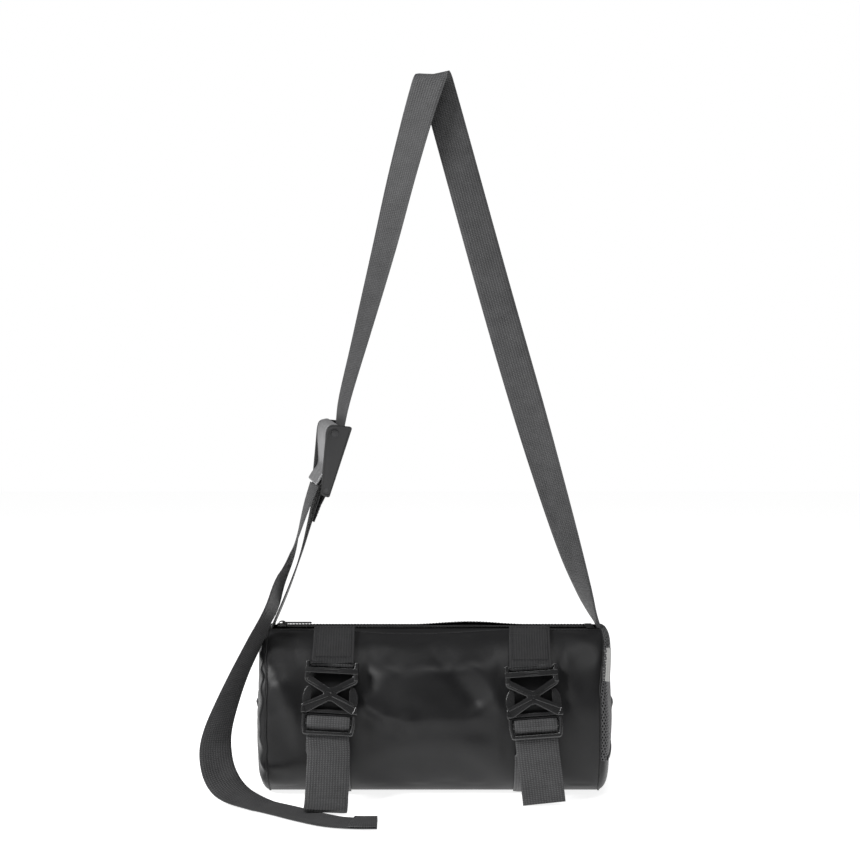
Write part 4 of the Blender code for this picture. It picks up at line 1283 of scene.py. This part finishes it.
def make_tab(name):
    axes = buckle_axes(name)
    bar = to_world(axes, 0.0, HIDDEN_BAR_V, 0.0)
    x_top = bar[0] - 0.04 * math.sin(SETS[name][1])
    depths = (-0.0180, -0.0205, -0.0235, -0.0280, -0.0325, -0.0370)
    under, over = [], []
    for y in depths:
        x = bar[0] + (x_top - bar[0]) * (y + 0.060) / 0.041
        under.append(section_point(x, y, 0.0006))
        over.append(section_point(x, y, 0.0023))
    loop = []
    for k in range(13):
        angle = math.radians(-138.0 - 180.0 * k / 12)
        v = HIDDEN_BAR_V + 0.0027 * math.cos(angle)
        loop.append(to_world(axes, 0.0, v, 0.0027 * math.sin(angle)))
    points = under + loop + over[::-1]
    edges = [X_AXIS] * len(depths) + [axes[1]] * len(loop) + [X_AXIS] * len(depths)
    line, across = smooth_strip(points, edges, 4)
    tab, lay = webbing("tab_" + name, line, across, FRONT_WIDTH, FRONT_THICK, step=0.0011)
    finish_piece(tab, TAB_WEBBING, "bag", ["buckle_tab_" + name])
    total = lay[3][-1]
    side = 1.0 if lay_at(lay, total - 0.01)[2][1] < 0 else -1.0
    half = FRONT_WIDTH / 2 - 0.0030
    first, last = total - 0.0040, total / 2 + 0.0155
    box = [(first, -half), (first, half), (last, half), (last, -half), (first, -half)]
    runs = [run_on(lay, box, side), run_on(lay, [(last - 0.0016, half), (last - 0.0016, -half)], side)]
    dense = run_on(lay, [(last, -half), (last, half)], side)
    thread = stitches("tab_thread_" + name, runs)
    tack = stitches("tab_tack_" + name, [dense], pitch=0.0011, length=0.0009, radius=0.0003)
    finish_piece(join("tab_stitching_" + name, [thread, tack]), DARK_THREAD, "bag")


def make_compression(name):
    axes = buckle_axes(name)
    start = to_world(axes, 0.0, -0.0215, -0.0046)
    fixed = []
    for theta in (4.22, 4.13, 4.02, 3.92, 3.82, 3.72, 3.62, 3.52, 3.42):
        fixed.append(lower_point(start[0], theta, 0.0008))
    local = [(-0.0300, -0.0064), (-0.0215, -0.0060), (-0.0165, -0.0056), (-0.0125, -0.0046)]
    local += [(-0.0098, -0.0032), (-0.0070, -0.0029)]
    for step in range(9):
        angle = math.pi * step / 8
        local.append((-0.0045 + 0.0028 * math.sin(angle), -0.0028 * math.cos(angle)))
    local += [(-0.0066, 0.0029), (-0.0088, 0.0030), (-0.0106, 0.0021), (-0.0119, 0.0003)]
    local += [(-0.0130, -0.0018), (-0.0143, -0.0033), (-0.0163, -0.0034), (-0.0205, -0.0030)]
    points = fixed + [to_world(axes, 0.0, v, n) for v, n in local]
    points += [np.array(p) for p in TAILS[name]]
    edges = [X_AXIS] * len(fixed) + [axes[1]] * (len(points) - len(fixed))
    line, across = smooth_strip(points, edges, 4)
    strap, lay = webbing(
        "compression_" + name, line, across, FRONT_WIDTH, FRONT_THICK, step=0.0012, floor=FLOOR_GAP
    )
    total = lay[3][-1]
    side = 1.0 if lay_at(lay, total)[2][1] < 0 else -1.0
    end = [lay_at(lay, total - TAIL_HEM * 1.15 * k / 10) for k in range(11)]
    back = [p - n * side * FRONT_THICK * LAY_CLOSE for p, _, n, _ in end]
    edges = [a for _, a, _, _ in end]
    hem, _ = webbing("tail_hem_" + name, back, edges, FRONT_WIDTH - HEM_INSET, FRONT_THICK)
    half = FRONT_WIDTH / 2 - 0.0020
    row = total - TAIL_HEM
    thread = stitches("tail_thread_" + name, [run_on(lay, [(row, -half), (row, half)], side)])
    for piece, material, nodes in (
        (strap, WEBBING, ["compression_strap_" + name]),
        (hem, WEBBING, []),
        (thread, THREAD, []),
    ):
        finish_piece(piece, material, None, nodes)
        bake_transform(piece)


for set_name in SETS:
    make_tab(set_name)
    make_compression(set_name)


# ---- cam buckle --------------------------------------------------------------------
_, PIN_U, PIN_V, PIN_W = local_frame((0, 0, 0), ADJUSTER_U, ADJUSTER_V)
ADJUSTER = (PIN_CENTRE, PIN_W, PIN_V, -PIN_U)  # w across the side plates, v up, n to the front
INNER_HALF = 0.0172
PLATE_T = 0.0018
BAR_W, BAR_V = -0.0005, -0.0550
PIN_R = 0.0025
BAR_R = 0.0020
COIL_R = 0.0038
COIL_TURNS = 4
COIL_STEPS = 16


def adjuster_point(w, v, n=0.0):
    return to_world(ADJUSTER, w, v, n)


def pin_tube(name, w, v, low, high, radius, sides=32):
    return make_tube(name, [adjuster_point(w, v, low), adjuster_point(w, v, high)], radius, sides=sides)


def make_adjuster():
    outline = [(-0.0085, -0.0016, 0.003), (-0.0078, 0.0044, 0.004), (-0.0040, 0.0074, 0.003)]
    outline += [(0.0160, 0.0078, 0.003), (0.0036, -0.0620, 0.0025), (-0.0052, -0.0602, 0.003)]
    pieces = []
    for side in (-1, 1):
        low, high = sorted((side * INNER_HALF, side * (INNER_HALF + PLATE_T)))
        pieces.append(plate("side", [rounded(outline, 6)], low, high, 0.0005, ADJUSTER))
        low, high = sorted((side * (INNER_HALF + PLATE_T * 0.8), side * (INNER_HALF + PLATE_T * 1.35)))
        rim = rounded([(w * 0.84 + 0.0004, v * 0.93 - 0.0020, r) for w, v, r in outline], 6)
        pieces.append(plate("rim", [rounded(outline, 6), rim], low, high, 0.0003, ADJUSTER))
    web = [(0.0052, -0.0450), (0.0075, -0.0450), (0.0156, 0.0040), (0.0135, 0.0040)]
    pieces.append(plate("web", [web], -INNER_HALF, INNER_HALF, 0.0004, ADJUSTER))
    finish_piece(join("adjuster_plates", pieces), COATED, "bag", ["adjuster_frame"])
    shaft = [pin_tube("shaft", 0, 0, -0.0196, 0.0196, PIN_R)]
    for low, high in ((-0.0204, -0.0192), (0.0192, 0.0204)):
        shaft.append(plate("head", [circle((0, 0), 0.0036)], low, high, 0.0004, ADJUSTER))
    finish_piece(join("adjuster_pin_body", shaft), COATED, "bag", ["adjuster_pin"])
    bar = pin_tube("adjuster_bar", BAR_W, BAR_V, -0.0193, 0.0193, BAR_R)
    finish_piece(bar, COATED, "bag", ["adjuster_lower_bar"])
    lever = []
    for k in range(16):
        turn = math.radians(5 + 12 * k)
        swell = smooth_step(5 + 12 * k, 30, 95)
        radius = 0.0062 + 0.0026 * swell
        lever.append((radius * math.cos(turn), radius * math.sin(turn), 0.0))
    lever += [(-0.0080, -0.0080, 0.003), (-0.0056, -0.0210, 0.004), (-0.0034, -0.0325, 0.004)]
    lever += [(-0.0040, -0.0378, 0.004), (-0.0078, -0.0436, 0.003), (-0.0106, -0.0503, 0.001)]
    lever += [(-0.0097, -0.0518, 0.0008), (-0.0062, -0.0457, 0.002), (-0.0034, -0.0408, 0.003)]
    lever += [(-0.0018, -0.0360, 0.003), (0.0004, -0.0260, 0.004), (0.0036, -0.0120, 0.003)]
    lever += [(0.0062, -0.0060, 0.002), (0.0066, -0.0030, 0.001)]
    outline = rounded(lever)
    bore = circle((0, 0), PIN_R + 0.0002)
    parts = []
    for low, high in ((-0.0158, -0.0048), (0.0048, 0.0158)):
        parts.append(plate("cheek", [outline, bore], low, high, 0.0003, ADJUSTER))
    parts.append(plate("middle", [outline, circle((0, 0), 0.0048)], -0.0050, 0.0050, 0.0003, ADJUSTER))
    lever_body = join("adjuster_lever_body", parts)
    # the lever's light grey colour is painted reflection of the white surroundings
    finish_piece(lever_body, LEVER_PAINTED_REFLECTION, "lever", ["adjuster_lever"])
    coil = []
    for k in range(COIL_TURNS * COIL_STEPS + 1):
        turn = 2 * math.pi * k / COIL_STEPS
        across = 0.0034 - 0.0068 * k / (COIL_TURNS * COIL_STEPS)
        coil.append(adjuster_point(COIL_R * math.cos(turn), COIL_R * math.sin(turn), across))
    spring = make_tube("adjuster_coil", coil, 0.0005)
    finish_piece(spring, BRIGHT, "bag", ["adjuster_spring"])


make_adjuster()


# ---- shoulder strap ----------------------------------------------------------------
ROUTE = (
    (-0.0857, -0.0010, 0.3640, 66.0), (-0.0700, -0.0020, 0.4230, 56.0), (-0.0485, -0.0030, 0.5050, 42.0),
    (-0.0325, -0.0045, 0.5700, 33.0), (-0.0180, -0.0055, 0.6240, 25.0), (-0.0085, -0.0055, 0.6560, 17.0),
    (-0.0045, -0.0045, 0.6675, 12.0), (-0.0020, 0.0000, 0.6722, 7.0), (0.0010, 0.0045, 0.6675, 3.0),
    (0.0045, 0.0055, 0.6560, 2.0), (0.0140, 0.0055, 0.6220, 2.0), (0.0460, 0.0030, 0.5050, 6.0),
    (0.0660, 0.0010, 0.4330, 9.0), (0.0865, 0.0000, 0.3616, 17.0), (0.1080, 0.0000, 0.2880, 33.0),
    (0.1290, 0.0000, 0.2185, 50.0), (0.1420, 0.0000, 0.1800, 66.0), (0.1490, 0.0000, 0.1610, 78.0),
    (0.1542, 0.0000, 0.1500, 86.0), (0.1556, 0.0000, 0.1455, 89.0),
)
CAM_PATH = (
    (-0.0064, -0.0515), (-0.0048, -0.0488), (-0.0022, -0.0430), (0.0014, -0.0340),
    (0.0044, -0.0240), (0.0068, -0.0140), (0.0082, -0.0060), (0.0087, 0.0000),
    (0.0088, 0.0060),
)


SHORT_BOW = 0.0039
JOIN_Z = 0.5236  # thread rows across the long strap
LOW_JOIN_Z = 0.3072


def make_short_strap():
    anchor = np.array((-0.1532, 0.0, 0.1490))
    bar = adjuster_point(BAR_W, BAR_V)
    down = unit(anchor - bar)
    aside = unit(PIN_W - down * np.dot(PIN_W, down))
    reach_out = BAR_R + 0.0003 + STRAP_THICK / 2
    first, last = np.array((0.0, -1.0, 0.0)), -PIN_U
    points, edges = [np.array((-0.1540, 0.0, 0.1462))], [first]
    for k in range(15):
        share = k / 15
        point = anchor * (1 - share) + (bar - aside * reach_out * min(1.0, share * 1.5)) * share
        point[0] += SHORT_BOW * math.sin(math.pi * share)
        points.append(point)
        edges.append(first * (1 - share**2) + last * share**2)
    for k in range(13):
        angle = math.pi * k / 12
        points.append(bar - aside * reach_out * math.cos(angle) - down * reach_out * math.sin(angle))
        edges.append(last)
    for reach in (0.004, 0.010, 0.016, 0.022, 0.028, 0.034):
        spread = reach_out - 0.0016 * min(1.0, reach / 0.016)
        points.append(bar + aside * spread + down * reach)
        edges.append(last * (1 - reach / 0.13) + first * reach / 0.13)
    line, across = smooth_strip(points, edges, 4)
    strap, lay = webbing("strap_short_webbing", line, across, STRAP_WIDTH, STRAP_THICK, step=0.0012)
    finish_piece(strap, WEBBING, "bag", ["shoulder_strap_short"])
    total = lay[3][-1]
    half = STRAP_WIDTH / 2 - 0.0025
    box = [(total - 0.004, -half), (total - 0.004, half), (total - 0.022, half), (total - 0.022, -half)]
    runs = []
    for side in (1, -1):
        runs.append(run_on(lay, box + [box[0]], side))
        runs.append(run_on(lay, [box[0], box[2]], side))
        runs.append(run_on(lay, [box[1], box[3]], side))
    finish_piece(stitches("strap_short_thread", runs), THREAD, "bag")


def make_long_strap():
    knots = [(*adjuster_point(w, v), 72.0) for w, v in CAM_PATH] + [tuple(p) for p in ROUTE]
    curve = smooth_path(knots, 6)
    line, across = [], []
    for x, y, z, turn in curve:
        angle = math.radians(turn)
        dip = -0.16 * max(0.0, (turn - 60) / 12) * (x < 0)
        line.append((x, y, z))
        across.append((math.cos(angle), -math.sin(angle), dip))
    strap, lay = webbing(
        "strap_long_webbing", line, across, STRAP_WIDTH, STRAP_THICK, step=0.0022, cup=0.0003, columns=12
    )
    finish_piece(strap, WEBBING, "bag", ["shoulder_strap_long"])
    half = STRAP_WIDTH / 2 - 0.002
    runs = []
    heights, peak = lay[0][:, 2], int(np.argmax(lay[0][:, 2]))
    left, right = slice(0, peak), slice(peak, len(heights))
    for height, part in ((JOIN_Z, left), (JOIN_Z, right), (LOW_JOIN_Z, right)):
        nearest = int(np.argmin(np.abs(heights[part] - height))) + part.start
        s = lay[3][nearest]
        runs += [run_on(lay, [(s, -half), (s, half)], side) for side in (1, -1)]
    finish_piece(stitches("strap_long_thread", runs), THREAD, "bag")


make_short_strap()
make_long_strap()


# ---- studio ------------------------------------------------------------------------
def area_light(name, place, aim, size, power):
    data = bpy.data.lights.new(name, "AREA")
    data.shape = "DISK"
    data.size = size
    data.energy = power
    light = bpy.data.objects.new(name, data)
    light.location = place
    light.rotation_euler = (Vector(aim) - Vector(place)).to_track_quat("-Z", "Y").to_euler()
    bpy.context.scene.collection.objects.link(light)


AMBIENT = 0.15
FLOOR_GLOW = 0.84
FLOOR_GREY = (0.93, 0.93, 0.93, 1.0)
PURE_WHITE = (1.0, 1.0, 1.0, 1.0)
FLOOR_HALF = 6.0


def make_studio():
    scene = bpy.context.scene
    world = bpy.data.worlds.new("studio")
    world.use_nodes = True
    tree = world.node_tree
    seen, glow = tree.nodes["Background"], tree.nodes.new("ShaderNodeBackground")
    set_inputs(seen, Color=PURE_WHITE)
    set_inputs(glow, Color=PURE_WHITE, Strength=AMBIENT)
    mix = tree.nodes.new("ShaderNodeMixShader")
    tree.links.new(tree.nodes.new("ShaderNodeLightPath").outputs["Is Camera Ray"], mix.inputs[0])
    tree.links.new(glow.outputs[0], mix.inputs[1])
    tree.links.new(seen.outputs[0], mix.inputs[2])
    tree.links.new(mix.outputs[0], tree.nodes["World Output"].inputs["Surface"])
    scene.world = world
    scene.view_settings.view_transform = "Standard"
    area_light("key", (-1.30, -0.95, 1.25), (0.0, 0.0, 0.2), 0.7, 29.0)
    area_light("top", (0.2, -0.3, 1.9), (0.0, 0.0, 0.1), 0.8, 8.0)
    corners = [(a * FLOOR_HALF, b * FLOOR_HALF, 0) for a, b in ((-1, -1), (1, -1), (1, 1), (-1, 1))]
    floor = make_object("floor", corners, [(0, 1, 2, 3)])
    material, _, shader = new_material("floor")
    set_inputs(shader, Base_Color=FLOOR_GREY, Roughness=0.7)
    set_inputs(shader, Emission_Color=PURE_WHITE, Emission_Strength=FLOOR_GLOW)
    floor.data.materials.append(material)


make_studio()
